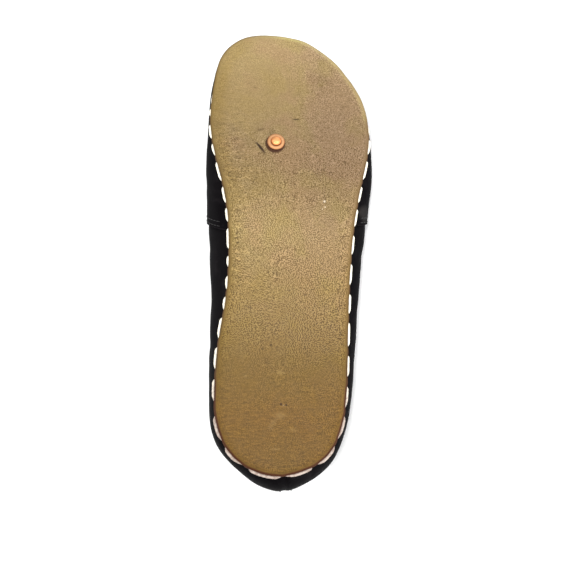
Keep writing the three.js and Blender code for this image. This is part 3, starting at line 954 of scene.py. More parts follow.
    def rimmed(self, spot: Spot, inset: Pin, cloud: Pin, base: Pin) -> Pin:
        """Lays the warm rim, its dark line with painted shadow of the thread, a painted highlight on
        the toe's rim and the stitch holes over a colour.

        Args:
            spot: The shaded point.
            inset: Its way in from the edge.
            cloud: Noise that makes the rim uneven.
            base: The colour.

        Returns:
            The new colour.
        """
        tree, along, across = spot.tree, spot.along, spot.across
        edge = inset + (cloud - 0.5) * 1.4
        warm = (1.0 - edge.ease(0.4, 2.6)) * (0.35 + 0.30 * (1.0 - along.ease(150, 205)))
        base = tree.blend(warm, base, self.warm)
        inner_side = (1.0 - inset.ease(4, 14)) * (1.0 - across.ease(-20, -10))
        inner_side = inner_side * (0.35 + 0.65 * along.ease(150, 190) - 0.5 * along.ease(232, 250))
        base = tree.blend(inner_side, base, base * self.inner_edge)
        # Painted highlight along the rim at the tip of the toe, where the dark edge line mostly gives
        # way
        tip = along.ease(205, 220) * across.ease(-16, 6)
        base = tree.blend((1.0 - inset.ease(1.5, 4.5)) * tip, base, base * self.toe_highlight)
        # The dark line at the very edge: the cut edge's own darker colour, with painted shadow of the
        # thread over it
        line = tree.blend(along.ease(70, 40), self.line, self.heel_line)
        behind = along.ease(90, 40)
        share = (1.0 - (inset - 0.55 * behind).ease(0.20, 1.10)) * (0.50 + 0.40 * behind)
        base = tree.blend(share * (1.0 - 0.8 * tip), base, line)
        return tree.blend(tree.field("hole").ease(0.30, 0.90) * 0.70, base, self.hole)

    def mask(self, spot: Spot, mark: Mark) -> Pin:
        """Works out the share of a mark's colour.

        Args:
            spot: The shaded point.
            mark: The mark.

        Returns:
            The share.
        """
        tree, turn = spot.tree, math.radians(mark.angle)
        ahead, aside = spot.along - mark.along, spot.across - mark.across
        first = (ahead * math.cos(turn) + aside * math.sin(turn)) / mark.length
        second = (aside * math.cos(turn) - ahead * math.sin(turn)) / mark.width
        place = tree.node("ShaderNodeCombineXYZ", None, {0: spot.along, 1: spot.across, 2: 0.0})
        ragged = (tree.noise(place, 0.9, 3.0, 0.6) - 0.5) * mark.ragged
        away = (first * first + second * second) ** 0.5 + ragged
        return away.ease(0.85 + mark.soft, 0.85 - mark.soft) * mark.strength


@dataclass(frozen=True)
class UpperLeather:
    """Smooth black leather of the upper, a little paler where its edges are worn, with painted light
    on its upper part and a painted highlight on its outer side.
    """

    base: Colour = tint(7, 5, 7)
    # Paler base above the sole, painted light that shows the form
    painted_top_light: Colour = tint(40, 38, 41)
    faded: Colour = tint(42, 38, 40)
    roughness: float = 0.55
    # Painted highlight on the outer flank
    rubbed_and_sheen: Colour = tint(84, 80, 78)
    sheen_at: tuple[float, float, float] = (154.0, 0.0, 12.0)
    sheen_size: float = 26.0

    def material(self, place: ShoeFrame) -> bpy.types.Material:
        """Builds the material, faded along its edges, with painted light on its upper part and a
        painted highlight on its outer side.

        Args:
            place: The shoe's frame.

        Returns:
            The material.
        """
        tree = Tree("upper_leather")
        spot = place.spot(tree)
        point = spot.point
        cloud = tree.noise(point, 0.09, 5.0, 0.6, 0.3)
        fine = tree.noise(point, 2.6, 5.0, 0.65)
        edge = tree.field("edge")
        # Painted light: above 24 mm the base turns paler, so that the upper's form shows
        base = tree.blend(spot.height.ease(24, 46), self.base, self.painted_top_light)
        base = tree.blend(cloud.ease(0.48, 0.78) * 0.30, base, self.faded)
        base = tree.blend((edge * (0.4 + cloud)).ease(0.35, 0.95) * 0.45, base, self.faded)
        # Painted highlight: a soft pale patch on the outer flank at the waist
        away = point - self.sheen_at
        rubbed_and_sheen = away.dot((0.0, 0.0, 1.0)) ** 2.0 + (away.dot((1.0, 0.0, 0.0)) * 0.8) ** 2.0
        share = spot.across.ease(20, 30) * (1.0 - rubbed_and_sheen.ease(1.0, self.sheen_size)) * cloud
        base = tree.blend(share * 0.45, base, self.rubbed_and_sheen)
        normal = tree.bump(1.0 - tree.cells(point, 1.7), 0.20, 0.20)
        normal = tree.bump(fine, 0.22, 0.10, normal)
        normal = tree.bump(cloud, 0.30, 1.0, normal)
        rough = self.roughness + 0.20 * (cloud - 0.5) + 0.10 * fine + 0.08 * edge
        return tree.finish(Base_Color=base, Roughness=rough, Normal=normal,
                           Specular_IOR_Level=0.028)


@dataclass(frozen=True)
class PlainLeather:
    """Plain leather of the insole and the lining."""

    name: str
    base: Colour
    worn: Colour
    roughness: float = 0.7

    def material(self, place: ShoeFrame) -> bpy.types.Material:
        """Builds the material, polished darker where the mesh says that it is worn.

        Args:
            place: The shoe's frame.

        Returns:
            The material.
        """
        tree = Tree(self.name)
        point = place.spot(tree).point
        cloud = tree.noise(point, 0.07, 5.0, 0.6, 0.2)
        worn = tree.field("worn") * (0.6 + 0.8 * cloud)
        base = tree.blend(cloud.ease(0.40, 0.75) * 0.35, self.base, self.worn)
        base = tree.blend(worn.ease(0.1, 1.0) * 0.6, base, self.worn)
        normal = tree.bump(1.0 - tree.cells(point, 1.5), 0.25, 0.2)
        normal = tree.bump(tree.noise(point, 2.4, 4.0, 0.7), 0.25, 0.15, normal)
        return tree.finish(Base_Color=base, Roughness=self.roughness - 0.15 * worn + 0.08 * cloud,
                           Normal=normal, Specular_IOR_Level=0.35)


@dataclass(frozen=True)
class WaxedThread:
    """Thick waxed thread, cream where clean and pinkish grey at the heel."""

    clean: Colour = tint(250, 244, 226)
    dirty: Colour = tint(168, 150, 140)
    grimy: Colour = tint(112, 84, 70)
    hole: Colour = tint(92, 62, 42)

    def material(self, place: ShoeFrame) -> bpy.types.Material:
        """Builds the material, darker where the thread goes into its holes.

        Args:
            place: The shoe's frame.

        Returns:
            The material.
        """
        tree = Tree("rim_thread")
        spot = place.spot(tree)
        grime = tree.noise(spot.point, 0.50, 5.0, 0.70)
        fibre = tree.noise(spot.point, 4.5, 4.0, 0.7)
        heel = spot.along.ease(84, 22)
        base = tree.blend(heel * 0.85, self.clean, self.dirty)
        base = tree.blend((grime + heel * 0.16 - 0.12).ease(0.44, 0.66) * 0.60, base, self.grimy)
        base = tree.blend(tree.field("deep").ease(0.25, 1.0) * 0.9, base, self.hole)
        base = tree.blend(fibre.ease(0.58, 0.8) * 0.22, base, self.dirty)
        return tree.finish(Base_Color=base, Roughness=0.62 + 0.1 * grime,
                           Normal=tree.bump(fibre, 0.4, 0.10), Specular_IOR_Level=0.35)


@dataclass(frozen=True)
class SeamThread:
    """Fine black thread of the upper's seams."""

    base: Colour = tint(26, 25, 25)
    rubbed_and_sheen: Colour = tint(54, 52, 50)

    def material(self, place: ShoeFrame) -> bpy.types.Material:
        """Builds the material.

        Args:
            place: The shoe's frame.

        Returns:
            The material.
        """
        tree = Tree("seam_thread")
        fibre = tree.noise(place.spot(tree).point, 1.2, 3.0, 0.6)
        base = tree.blend(fibre.ease(0.4, 0.75) * 0.7, self.base, self.rubbed_and_sheen)
        return tree.finish(Base_Color=base, Roughness=0.40 + 0.2 * fibre,
                           Normal=tree.bump(fibre, 0.4, 0.06), Specular_IOR_Level=0.3)


@dataclass(frozen=True)
class Copper:
    """Bare copper, worn bright where it stands out and dull where grime stays, with painted shade at
    the burr's outer rim and the foot of the peened end.
    """

    name: str
    bright: Colour
    dull: Colour
    dirt_and_shade: Colour = tint(62, 24, 8)
    roughness: float = 0.50

    def material(self, place: ShoeFrame) -> bpy.types.Material:
        """Builds the material.

        Args:
            place: The shoe's frame.

        Returns:
            The material.
        """
        tree = Tree(self.name)
        point = place.spot(tree).point
        cloud = tree.noise(point, 0.6, 4.0, 0.6)
        hollow = tree.field("hollow")
        base = tree.blend(cloud.ease(0.40, 0.70) * 0.6, self.bright, self.dull)
        base = tree.blend(hollow.ease(0.05, 0.60), base, self.dull)
        # Grime, and painted shade at the burr's outer rim and the foot of the peened end
        base = tree.blend(hollow.ease(0.60, 1.0), base, self.dirt_and_shade)
        normal = tree.bump(tree.cells(point, 0.7), 0.30, 0.25)
        normal = tree.bump(tree.noise(point, 5.0, 3.0), 0.15, 0.05, normal)
        return tree.finish(Base_Color=base, Metallic=0.85, Normal=normal,
                           Roughness=self.roughness + 0.15 * cloud + 0.2 * hollow)


# Sub-assemblies


@dataclass
class RimStitches:
    """Running stitch of thick thread round the rim of the sole.

    Each stitch is given by the ways round the edge from the heel's end, outer side positive, at
    which it starts and ends.
    """

    last: Last
    outer: tuple[tuple[float, float], ...] = (
        (41.1, 54.7), (58.9, 72.2), (76.6, 89.6), (94.1, 108.9), (113.0, 125.7), (129.9, 144.0),
        (148.2, 160.8), (165.7, 177.3), (180.5, 191.7), (196.2, 208.6), (212.0, 223.4))
    heel: tuple[tuple[float, float], ...] = (
        (23.8, 36.8), (3.8, 18.7), (-16.1, 1.6), (-33.9, -20.9), (-52.7, -38.8))
    inner: tuple[tuple[float, float], ...] = (
        (-240.6, -234.9), (-229.4, -219.8), (-216.5, -207.9), (-204.6, -191.5),
        (-188.4, -177.7), (-175.3, -166.2), (-162.6, -150.1), (-146.0, -139.0),
        (-134.2, -125.5), (-122.0, -113.3), (-109.2, -96.6), (-92.0, -78.7), (-73.7, -61.0))
    # The toe's even stitches, then the thread's radius and how far it bows out past the edge
    toe_pitch: float = 15.5
    toe_stitch: float = 12.0
    radius: float = 0.70
    heel_radius: float = 0.86
    bow_outer: float = 0.66
    bow_inner: float = 0.60
    bow_heel: float = 0.80
    heel_reach: tuple[float, float] = (38.0, 72.0)
    # Where the thread lies in its holes, and its height there and between them
    sunk: float = -0.9
    level: float = 4.3
    end_rise: float = 0.8
    hole_size: float = 0.9
    strands: int = 3
    lay: float = 7.0
    # Ways round the edge over which the thread draws in under the toe
    outer_fade: tuple[float, float] = (222.0, 240.0)
    inner_fade: tuple[float, float] = (226.0, 262.0)
    steps_per_mm: float = 2.6
    least_steps: int = 24
    seed: int = 7

    def __post_init__(self) -> None:
        """Fills the toe with evenly spaced stitches and finds the holes."""
        found = sorted(self.outer + self.heel + self.inner)
        start = found[-1][1]
        end = found[0][0] + self.last.girth
        count = round((end - start) / self.toe_pitch)
        pitch = (end - start) / count
        gap = (self.toe_pitch - self.toe_stitch) / 2
        toe = [(start + i * pitch + gap, start + (i + 1) * pitch - gap) for i in range(count)]
        self.stitches = found + toe
        closed = self.stitches + [(end, end)]
        self.holes = [((a[1] + b[0]) / 2, (b[0] - a[1]) / 2) for a, b in zip(closed, closed[1:])]

    def wrapped(self, way: Array) -> Array:
        """Ways round the edge brought to within half of its girth of the heel's end."""
        return (way + self.last.girth / 2) % self.last.girth - self.last.girth / 2

    def open_share(self, way: Array) -> Array:
        """1 where the thread lies out past the edge, 0 round the toe where it is drawn under."""
        way = self.wrapped(way)
        return np.where(way > 0, 1 - smooth_step(*self.outer_fade, way),
                        1 - smooth_step(*self.inner_fade, -way))

    def bow_at(self, way: float) -> tuple[float, float]:
        """Finds how the thread lies between its holes.

        Args:
            way: Way round the edge.

        Returns:
            How far it lies out past the edge, and its radius.
        """
        far = float(smooth_step(*self.heel_reach, abs(way)))
        side = self.bow_outer if way > 0 else self.bow_inner
        return (self.bow_heel + (side - self.bow_heel) * far,
                self.heel_radius + (self.radius - self.heel_radius) * far)

    def closeness(self, way: Array) -> Array:
        """1 where the thread goes into a hole, 0 along the stitches, for ways round the edge."""
        return np.max([bell(self.wrapped(way - middle), half + self.hole_size)
                       for middle, half in self.holes], axis=0)

    @staticmethod
    def ramp(way: Array, length: float) -> Array:
        """Rises from 0 to 1 over a length, steeply at first."""
        return np.sin(np.pi / 2 * np.clip(way / length, 0, 1)) ** 0.85

    def build(self, place: ShoeFrame, finish: WaxedThread) -> bpy.types.Object:
        """Makes the thread.

        Args:
            place: The shoe's frame.
            finish: What it is dressed with.

        Returns:
            The thread's object.
        """
        draw = random.Random(self.seed)
        last = self.last
        piece = Piece("rim_thread")
        for start, end in self.stitches:
            bow, radius = self.bow_at((start + end) / 2)
            bow *= draw.uniform(0.85, 1.15)
            sag = draw.uniform(-0.2, 0.2)
            slack = 0.5 * (1 - float(smooth_step(*self.heel_reach, abs(start))))
            tapers = [(1 + slack) * draw.uniform(2.0, 3.4), (1 + slack) * draw.uniform(3.8, 6.4)]
            outer_side = 0 < start < last.girth / 2
            toward_heel, toward_toe = reversed(tapers) if outer_side else tapers
            past = 0.7 + 2.2 * slack
            steps = max(self.least_steps, int((end - start) * self.steps_per_mm))
            way = np.linspace(start - past, end + past, steps)
            rise = self.ramp(way - way[0], toward_heel) * self.ramp(way[-1] - way, toward_toe)
            turn = last.turn_at(way)
            out = self.sunk + (bow - self.sunk) * rise * self.open_share(way)
            edge = last.outline(turn) + last.outward(turn) * out[:, None]
            height = (last.spring(edge[:, 0]) + self.level + sag * rise
                      + self.end_rise * (1 - rise))
            radius *= draw.uniform(0.94, 1.05)
            rings = thread_rings(np.column_stack([edge, height]), radius, self.strands, self.lay,
                                 taper=(0.8 * toward_heel, 0.8 * toward_toe))
            deep = np.repeat((1 - smooth_step(0.1, 0.4, rise))[:, None], rings.shape[1], 1)
            piece.rings(rings, capped=True, deep=deep)
        return piece.make(place, [finish.material(place)], sharp=70)


@dataclass
class Outsole:
    """Outsole cut to the foot's outline, its rim turned up and pushed out at the holes."""

    last: Last
    stitches: RimStitches
    columns: int = 720
    middle_rings: int = 26
    rim_rings: tuple[float, ...] = (12, 10, 8.4, 7, 5.8, 4.8, 3.9, 3.1, 2.4, 1.8, 1.3, 0.9,
                                    0.55, 0.28, 0.1)
    rim_reach: float = 4.5
    pushed: float = 0.55
    raised: float = 0.20
    unevenness: float = 0.14
    dents: float = 0.22
    deep: float = 30.0

    def surface(self, turns: Array, inset: float, share: float,
                column: Sequence[float]) -> tuple[Array, Array, Array]:
        """Finds one ring of the sole.

        Args:
            turns: Turns round the shoe.
            inset: Way in from the edge.
            share: Share of the way from the middle line to there.
            column: The rim's table for the face.

        Returns:
            The points, how far each is from the edge, and how near to a hole.
        """
        last = self.last
        plan = last.inset_point(turns, inset, share)
        height = last.spring(plan[:, 0]) + last.rim(np.full(len(turns), inset), column)
        near = float(np.clip(1 - inset / self.rim_reach, 0, 1))
        way = last.way_at(turns)
        hole = self.stitches.closeness(way) * self.stitches.open_share(way)
        ragged = clouds(np.column_stack([plan, np.zeros(len(turns))]), 9.0, 3.1)
        out = near ** 1.5 * (self.unevenness * ragged + self.pushed * hole)
        plan = plan + last.outward(turns) * out[:, None]
        points = np.column_stack([plan, height + near * self.raised * hole])
        far = inset + (self.deep - inset) * (1 - share)
        return points, np.full(len(turns), far), hole * float(np.clip(1.2 - inset, 0, 1))

    def build(self, place: ShoeFrame, finish: SoleLeather) -> bpy.types.Object:
        """Makes the outsole and stands it in for its solid.

        Args:
            place: The shoe's frame.
            finish: What it is dressed with.

        Returns:
            The outsole's object.
        """
        last = self.last
        turns = last.even_turns(self.columns)
        under = [(last.rim_width, i / self.middle_rings) for i in range(self.middle_rings)]
        under += [(inset, 1.0) for inset in self.rim_rings]
        rows = []
        for inset, share in under:
            points, far, hole = self.surface(turns, inset, share, last.rim_under)
            dent = clouds(points, 16.0, 1.7) + 0.5 * clouds(points, 5.0, 8.3)
            points[:, 2] += self.dents * dent * smooth_step(-2.0, 5.0, far)
            rows.append((points, far, hole))
        for inset, share in reversed(under):
            if share == 1.0 or round(share * self.middle_rings) % 4 == 0:
                rows.append(self.surface(turns, inset, share, last.rim_over))
        rings, insets, holes = (np.array(part) for part in zip(*rows))
        piece = Piece("sole_leather")
        piece.rings(rings, inset=insets, hole=holes)
        return piece.make(place, [finish.material(place, MARKS)], ["outsole"])


@dataclass
class Insole:
    """Insole that lies on the outsole, pressed a little where the heel and the ball stand."""

    last: Last
    columns: int = 288
    middle_rings: int = 14
    pressed: float = 0.5
    press_size: float = 26.0
    heel_at: tuple[float, float] = (38.0, 2.0)
    ball_at: tuple[float, float] = (197.0, 6.0)

    def press(self, plan: Array) -> Array:
        """How far the foot has pressed the insole at points in plan, from 0 to 1."""
        heel, ball = plan - np.array(self.heel_at), (plan - np.array(self.ball_at)) / (1.1, 1.5)
        return sum(bell(np.linalg.norm(away, axis=1), self.press_size) for away in (heel, ball))

    def build(self, place: ShoeFrame, finish: PlainLeather) -> bpy.types.Object:
        """Makes the insole and stands it in for its solid.

        Args:
            place: The shoe's frame.
            finish: What it is dressed with.

        Returns:
            The insole's object.
        """
        last = self.last
        rim, edge = last.rim_width, last.seat_inset + last.wall + 2 * last.gap
        turns = last.even_turns(self.columns)
        shares = [i / self.middle_rings for i in range(self.middle_rings)]
        # Each ring's way in from the edge, its share of the way there and its part of the thickness
        rows = [(rim, share, 0.0) for share in shares[::3]]
        rows += [(inset, 1.0, up) for inset, up in (
            (rim, 0.0), (8, 0.0), (edge, 0.0), (edge, 0.35), (edge, 0.7), (edge + 0.25, 0.9),
            (edge + 0.8, 1.0), (8, 1.0), (rim, 1.0))]
        rows += [(rim, share, 1.0) for share in reversed(shares)]
        rings, worn = [], []
        for inset, share, up in rows:
            plan = last.inset_point(turns, inset, share)
            press = self.press(plan) * (up > 0)
            height = (last.sole_top(plan[:, 0], inset) + last.gap + up * last.insole_thickness
                      - self.pressed * press)
            rings.append(np.column_stack([plan, height]))
            worn.append(press)
        piece = Piece("insole_leather")
        piece.rings(np.array(rings), worn=np.array(worn))
        return piece.make(place, [finish.material(place)], ["insole"])


@dataclass(frozen=True)
class Crease:
    """A soft trough or ridge in the upper, between two points seen from the side or the top."""

    side: Side | None
    start: tuple[float, float]
    end: tuple[float, float]
    depth: float
    width: float


CREASES = (
    Crease(Side.INNER, (96, 20), (120, 38), 1.0, 4.5),
    Crease(Side.INNER, (112, 18), (134, 32), -0.6, 5.0),
    Crease(Side.INNER, (132, 21), (146, 40), 1.0, 4.0),
    Crease(Side.INNER, (70, 16), (84, 32), 0.8, 4.5),
    Crease(Side.INNER, (172, 20), (184, 38), 1.0, 4.0),
    Crease(Side.OUTER, (88, 16), (112, 30), 0.9, 4.5),
    Crease(Side.OUTER, (124, 14), (144, 34), 1.1, 4.0),
    Crease(Side.OUTER, (60, 20), (76, 36), 0.7, 4.5),
    Crease(Side.OUTER, (176, 20), (188, 36), 0.8, 4.0),
    Crease(None, (206, -34), (200, 40), 1.2, 3.4),
    Crease(None, (214, -30), (211, 32), -0.7, 3.6),
    Crease(None, (221, -32), (218, 34), 1.0, 3.2),
    Crease(None, (193, -24), (191, 26), 0.6, 3.4),
)


@dataclass
class Upper:
    """Upper of a front part over two side parts, lined, with its creases and turned edge."""

    last: Last
    stitches: RimStitches
    columns: int = 468
    rows: int = 84
    # The front part's raised edge, which runs aslant from foot to top, and its stitch rows
    step: float = 1.2
    step_length: float = 38.0
    slant: float = 0.92
    foot_outer: float = 0.524
    foot_inner: float = 0.507
    top: float = 0.607
    dip: float = 0.35
    front_rows: tuple[float, float] = (1.6, 4.2)
    front_row_depth: float = 0.14
    row_width: float = 0.5
    # The seam down the heel, in its low ridge
    back_across: float = 0.047
    back_depth: float = 0.6
    back_width: float = 6.0
    back_ridge: float = 0.8
    back_ridge_width: float = 8.0
    # The turned edge of the mouth with its stitch row
    fold_height: float = 7.0
    fold: float = 0.35
    fold_edge: float = 0.9
    mouth_row: float = 4.6
    mouth_row_depth: float = 0.12
    # The puckers that the rim stitches draw
    pucker: float = 0.35
    pucker_height: float = 0.085

    def __post_init__(self) -> None:
        """Finds the turns of the front part's two edges and of the seam down the heel."""
        last = self.last
        turns = np.linspace(0, last.toe_turn, 4001)
        top = float(np.interp(self.top, last.mouth_along(turns), turns))
        outer, inner = np.interp((self.foot_outer, self.foot_inner), last.along(turns), turns)
        self.edges = {Side.OUTER: (float(outer), top),
                      Side.INNER: (last.turns - float(inner), last.turns - top)}
        self.back = self.beside_back(0.0)

    def beside_back(self, away: float) -> float:
        """Turn of a line beside the heel's seam, outer side positive, in millimetres."""
        near = np.linspace(-1, 2, 601)
        return float(np.interp(self.back_across + away / self.last.ball_width,
                               self.last.side(near), near))

    def edge_turn(self, side: Side, height: Array) -> Array:
        """Turn of the front part's edge on one side, at each height."""
        foot, top = self.edges[side]
        return foot + height * (top - foot)

    def leaned(self, turn: Array, height: Array) -> Array:
        """Leans sections with the front part's edges near them.

        Args:
            turn: The sections' turns half way up.
            height: Way up the upper.

        Returns:
            Their turns at that height.
        """
        result = np.array(turn, float)
        for side in Side:
            middle = self.edge_turn(side, 0.5)
            away = np.minimum(1, np.abs(turn - middle) / 4)
            result += (0.5 + 0.5 * np.cos(np.pi * away)) * (self.edge_turn(side, height) - middle)
        return result

    def columns_round(self) -> Array:
        """Finds the turns of the mesh's columns.

        Returns:
            The turns, closer together at the front part's edge and at the back seam.
        """
        turns = self.last.even_turns(self.columns)
        beside = [self.back + step for step in (-0.05, -0.02, 0.0, 0.02, 0.05)]
        for side in Side:
            seam = self.edge_turn(side, 0.5)
            turns = turns[np.abs(turns - seam) > 0.16]
            beside += [seam + sign * step for step in (0.008, 0.025, 0.055, 0.1)
                       for sign in (-1, 1)]
        return np.unique(np.concatenate([turns, beside]))

    def lift(self, turn: Array, height: Array, point: Array) -> tuple[Array, Array]:
        """Finds how far the face stands out past its plain form.

        Args:
            turn: Turns of the face's points.
            height: Their way up the upper.
            point: The same points on the plain form.

        Returns:
            How far they stand out, and how much they are worn as edges.
        """
        last = self.last
        edge = np.where(turn < last.toe_turn, self.edge_turn(Side.OUTER, height),
                        self.edge_turn(Side.INNER, height))
        front = np.abs(turn - last.toe_turn) < np.abs(edge - last.toe_turn)
        past = np.abs(point[..., 0] - last.upper_point(edge, height)[..., 0]) * self.slant
        ahead = self.step * (1 - 0.6 * smooth_step(0, self.step_length, past))
        for row in self.front_rows:
            ahead = ahead - self.front_row_depth * bell(past - row, self.row_width)
        lift = np.where(front, ahead, -self.dip * bell(past, 0.9)) * smooth_step(0, 0.14, height)
        worn = np.where(front, bell(past, 0.8), 0)
        from_back = np.abs(point[..., 1] - self.back_across * last.ball_width)
        seam = (self.back_ridge * bell(from_back, self.back_ridge_width)
                - self.back_depth * (1 - smooth_step(0, self.back_width / 2, from_back)))
        lift = lift + np.where((turn < 2) | (turn > last.turns - 2), seam, 0)
        hole = self.stitches.closeness(last.way_at(turn))
        lift = lift + self.pucker * bell(height, self.pucker_height) * (0.35 - hole)
        from_top = np.linalg.norm(last.upper_point(turn, 1.0) - point, axis=-1)
        fold = 1 - smooth_step(self.fold_height - self.fold_edge, self.fold_height, from_top)
        lift = lift + self.fold * fold - self.mouth_row_depth * bell(from_top - self.mouth_row, 0.8)
        return lift, np.maximum(worn, bell(from_top, 1.6))

    def creases(self, point: Array) -> Array:
        """Adds up the creases at points of the face.

        Args:
            point: The points.

        Returns:
            Their depth there.
        """
        total = np.zeros(point.shape[:-1])
        for crease in CREASES:
            if crease.side is None:
                seen, share = point[..., [0, 1]], smooth_step(30, 42, point[..., 2])
            else:
                seen = point[..., [0, 2]]
                share = smooth_step(6, 20, point[..., 1] * crease.side.value)
            seen, way = seen - np.array(crease.start), np.subtract(crease.end, crease.start)
            t = np.clip(seen @ way / (way @ way), 0, 1)
            away = np.linalg.norm(seen - t[..., None] * way, axis=-1)
            ends = 0.35 + 0.65 * np.sin(np.pi * np.clip(t, 0.02, 0.98))
            total = total + crease.depth * ends * bell(away, crease.width) * share
        return total

    def skin(self, turn: Array, height: Array) -> tuple[Array, Array]:
        """Finds points of the outer face with all that shapes it.

        Args:
            turn: Turns round the shoe.
            height: Way up the upper, 0 at the sole and 1 at the mouth.

        Returns:
            The points, and how worn they are as edges.
        """
        point = self.last.upper_point(turn, height)
        lift, worn = self.lift(turn, height, point)
        inside = smooth_step(0.0, 0.25, height) * (1 - 0.7 * smooth_step(0.8, 1.0, height))
        soft = 0.40 * clouds(point, 24.0, 5.2) + 0.14 * clouds(point, 8.0, 2.4)
        lift = lift + inside * (soft - 0.6 * self.creases(point))
        return point + self.last.upper_normal(turn, height) * lift[..., None], worn

    def build(self, place: ShoeFrame, leather: UpperLeather,
              lining: PlainLeather) -> bpy.types.Object:
        """Makes the upper and stands it in for its solid.

        Args:
            place: The shoe's frame.
            leather: What its outside and its edge are dressed with.
            lining: What its inside is dressed with.

        Returns:
            The upper's object.
        """
        last = self.last
        turns = self.columns_round()
        heights = np.linspace(0, 1, self.rows) ** 1.12
        height, turn = np.meshgrid(heights, turns, indexing="ij")
        face, worn = self.skin(self.leaned(turn, height), height)
        height, turn = np.meshgrid(heights[::-3], turns, indexing="ij")
        turn = self.leaned(turn, height)
        inner = last.upper_point(turn, height) - last.upper_normal(turn, height) * last.wall
        top = self.leaned(turns, 1.0)
        up = unit(last.upper_point(top, 1.0) - last.upper_point(top, 0.99))
        middle, half = (face[-1] + inner[0]) / 2, (face[-1] - inner[0]) / 2
        lip = [middle + half * math.cos(a) + up * 0.5 * last.wall * math.sin(a)
               for a in np.radians((25, 50, 75, 105, 130, 155))]
        rings = np.concatenate([face, lip, inner])
        edge = np.concatenate([worn, np.ones((len(lip), len(turns))),
                               np.zeros((len(inner), len(turns)))])
        slots = [0] * (len(face) + len(lip) - 1) + [1] * len(inner) + [0]
        piece = Piece("upper_leather")
        piece.rings(rings, joined=True, slots=slots, edge=edge, worn=np.zeros(edge.shape))
        return piece.make(place, [leather.material(place), lining.material(place)],
                          ["upper"], sharp=55)


@dataclass
class SeamStitches:
    """Fine rows of stitches on the upper: the front part's edge, the heel and the mouth."""

    upper: Upper
    pitch: float = 2.9
    radius: float = 0.28
    strands: int = 2
    lay: float = 1.6
    back_row: float = 2.6

    def row(self, piece: Piece, turns: Array, heights: Array) -> None:
        """Adds one row of stitches.

        Args:
            piece: The mesh that takes them.
            turns: Turns along the row.
            heights: Way up the upper at the same places.
        """
        turns = turns % self.upper.last.turns
        normal = self.upper.last.upper_normal(turns, heights)
        line = self.upper.skin(turns, heights)[0] + normal * 0.10
        walked = walk(line)
        bow = 0.30 * np.sin(np.pi * np.linspace(0, 1, 7)) - 0.25
        for i in range(int(walked[-1] / self.pitch)):
            ways = np.linspace((i + 0.12) * self.pitch, (i + 0.88) * self.pitch, len(bow))
            path, out = (np.stack([np.interp(ways, walked, values[:, k]) for k in range(3)], -1)
                         for values in (line, normal))
            piece.rings(thread_rings(path + out * bow[:, None], self.radius, self.strands,
                                     self.lay, around=8), capped=True)

    def beside(self, side: Side, away: float, height: Array) -> Array:
        """Finds a line on the front part ahead of its edge.

        Args:
            side: The side of the foot.
            away: Way ahead of the edge in millimetres.
            height: Way up the upper along the line.

        Returns:
            The line's turns at those heights.
        """
        edge = self.upper.edge_turn(side, height)
        tried = edge[:, None] + side.value * np.linspace(0, 0.9, 46)[None, :]
        x = self.upper.last.upper_point(tried, height[:, None])[..., 0] * self.upper.slant
        return np.array([np.interp(away, row - row[0], line) for row, line in zip(x, tried)])

    def build(self, place: ShoeFrame, finish: SeamThread) -> bpy.types.Object:
        """Makes all the rows.

        Args:
            place: The shoe's frame.
            finish: What they are dressed with.

        Returns:
            The object of all the stitches.
        """
        last = self.upper.last
        piece = Piece("seam_thread")
        share = np.linspace(0, 1, 400)
        front, back = 0.10 + 0.82 * share, 0.30 + 0.60 * share
        for side in Side:
            for away in self.upper.front_rows:
                self.row(piece, self.beside(side, away, front), front)
        for away in (-self.back_row, self.back_row):
            self.row(piece, np.full(share.shape, self.upper.beside_back(away)), back)
        knots, near_top = np.arange(last.turns), 0.03
        lengths = np.linalg.norm(last.upper_point(knots, 1.0)
                                 - last.upper_point(knots, 1.0 - near_top), axis=-1) / near_top
        down = smooth_loop(self.upper.mouth_row / lengths)
        turns = np.linspace(0, last.turns, 1600)
        self.row(piece, turns, 1 - down(turns))
        return piece.make(place, [finish.material(place)], sharp=70)


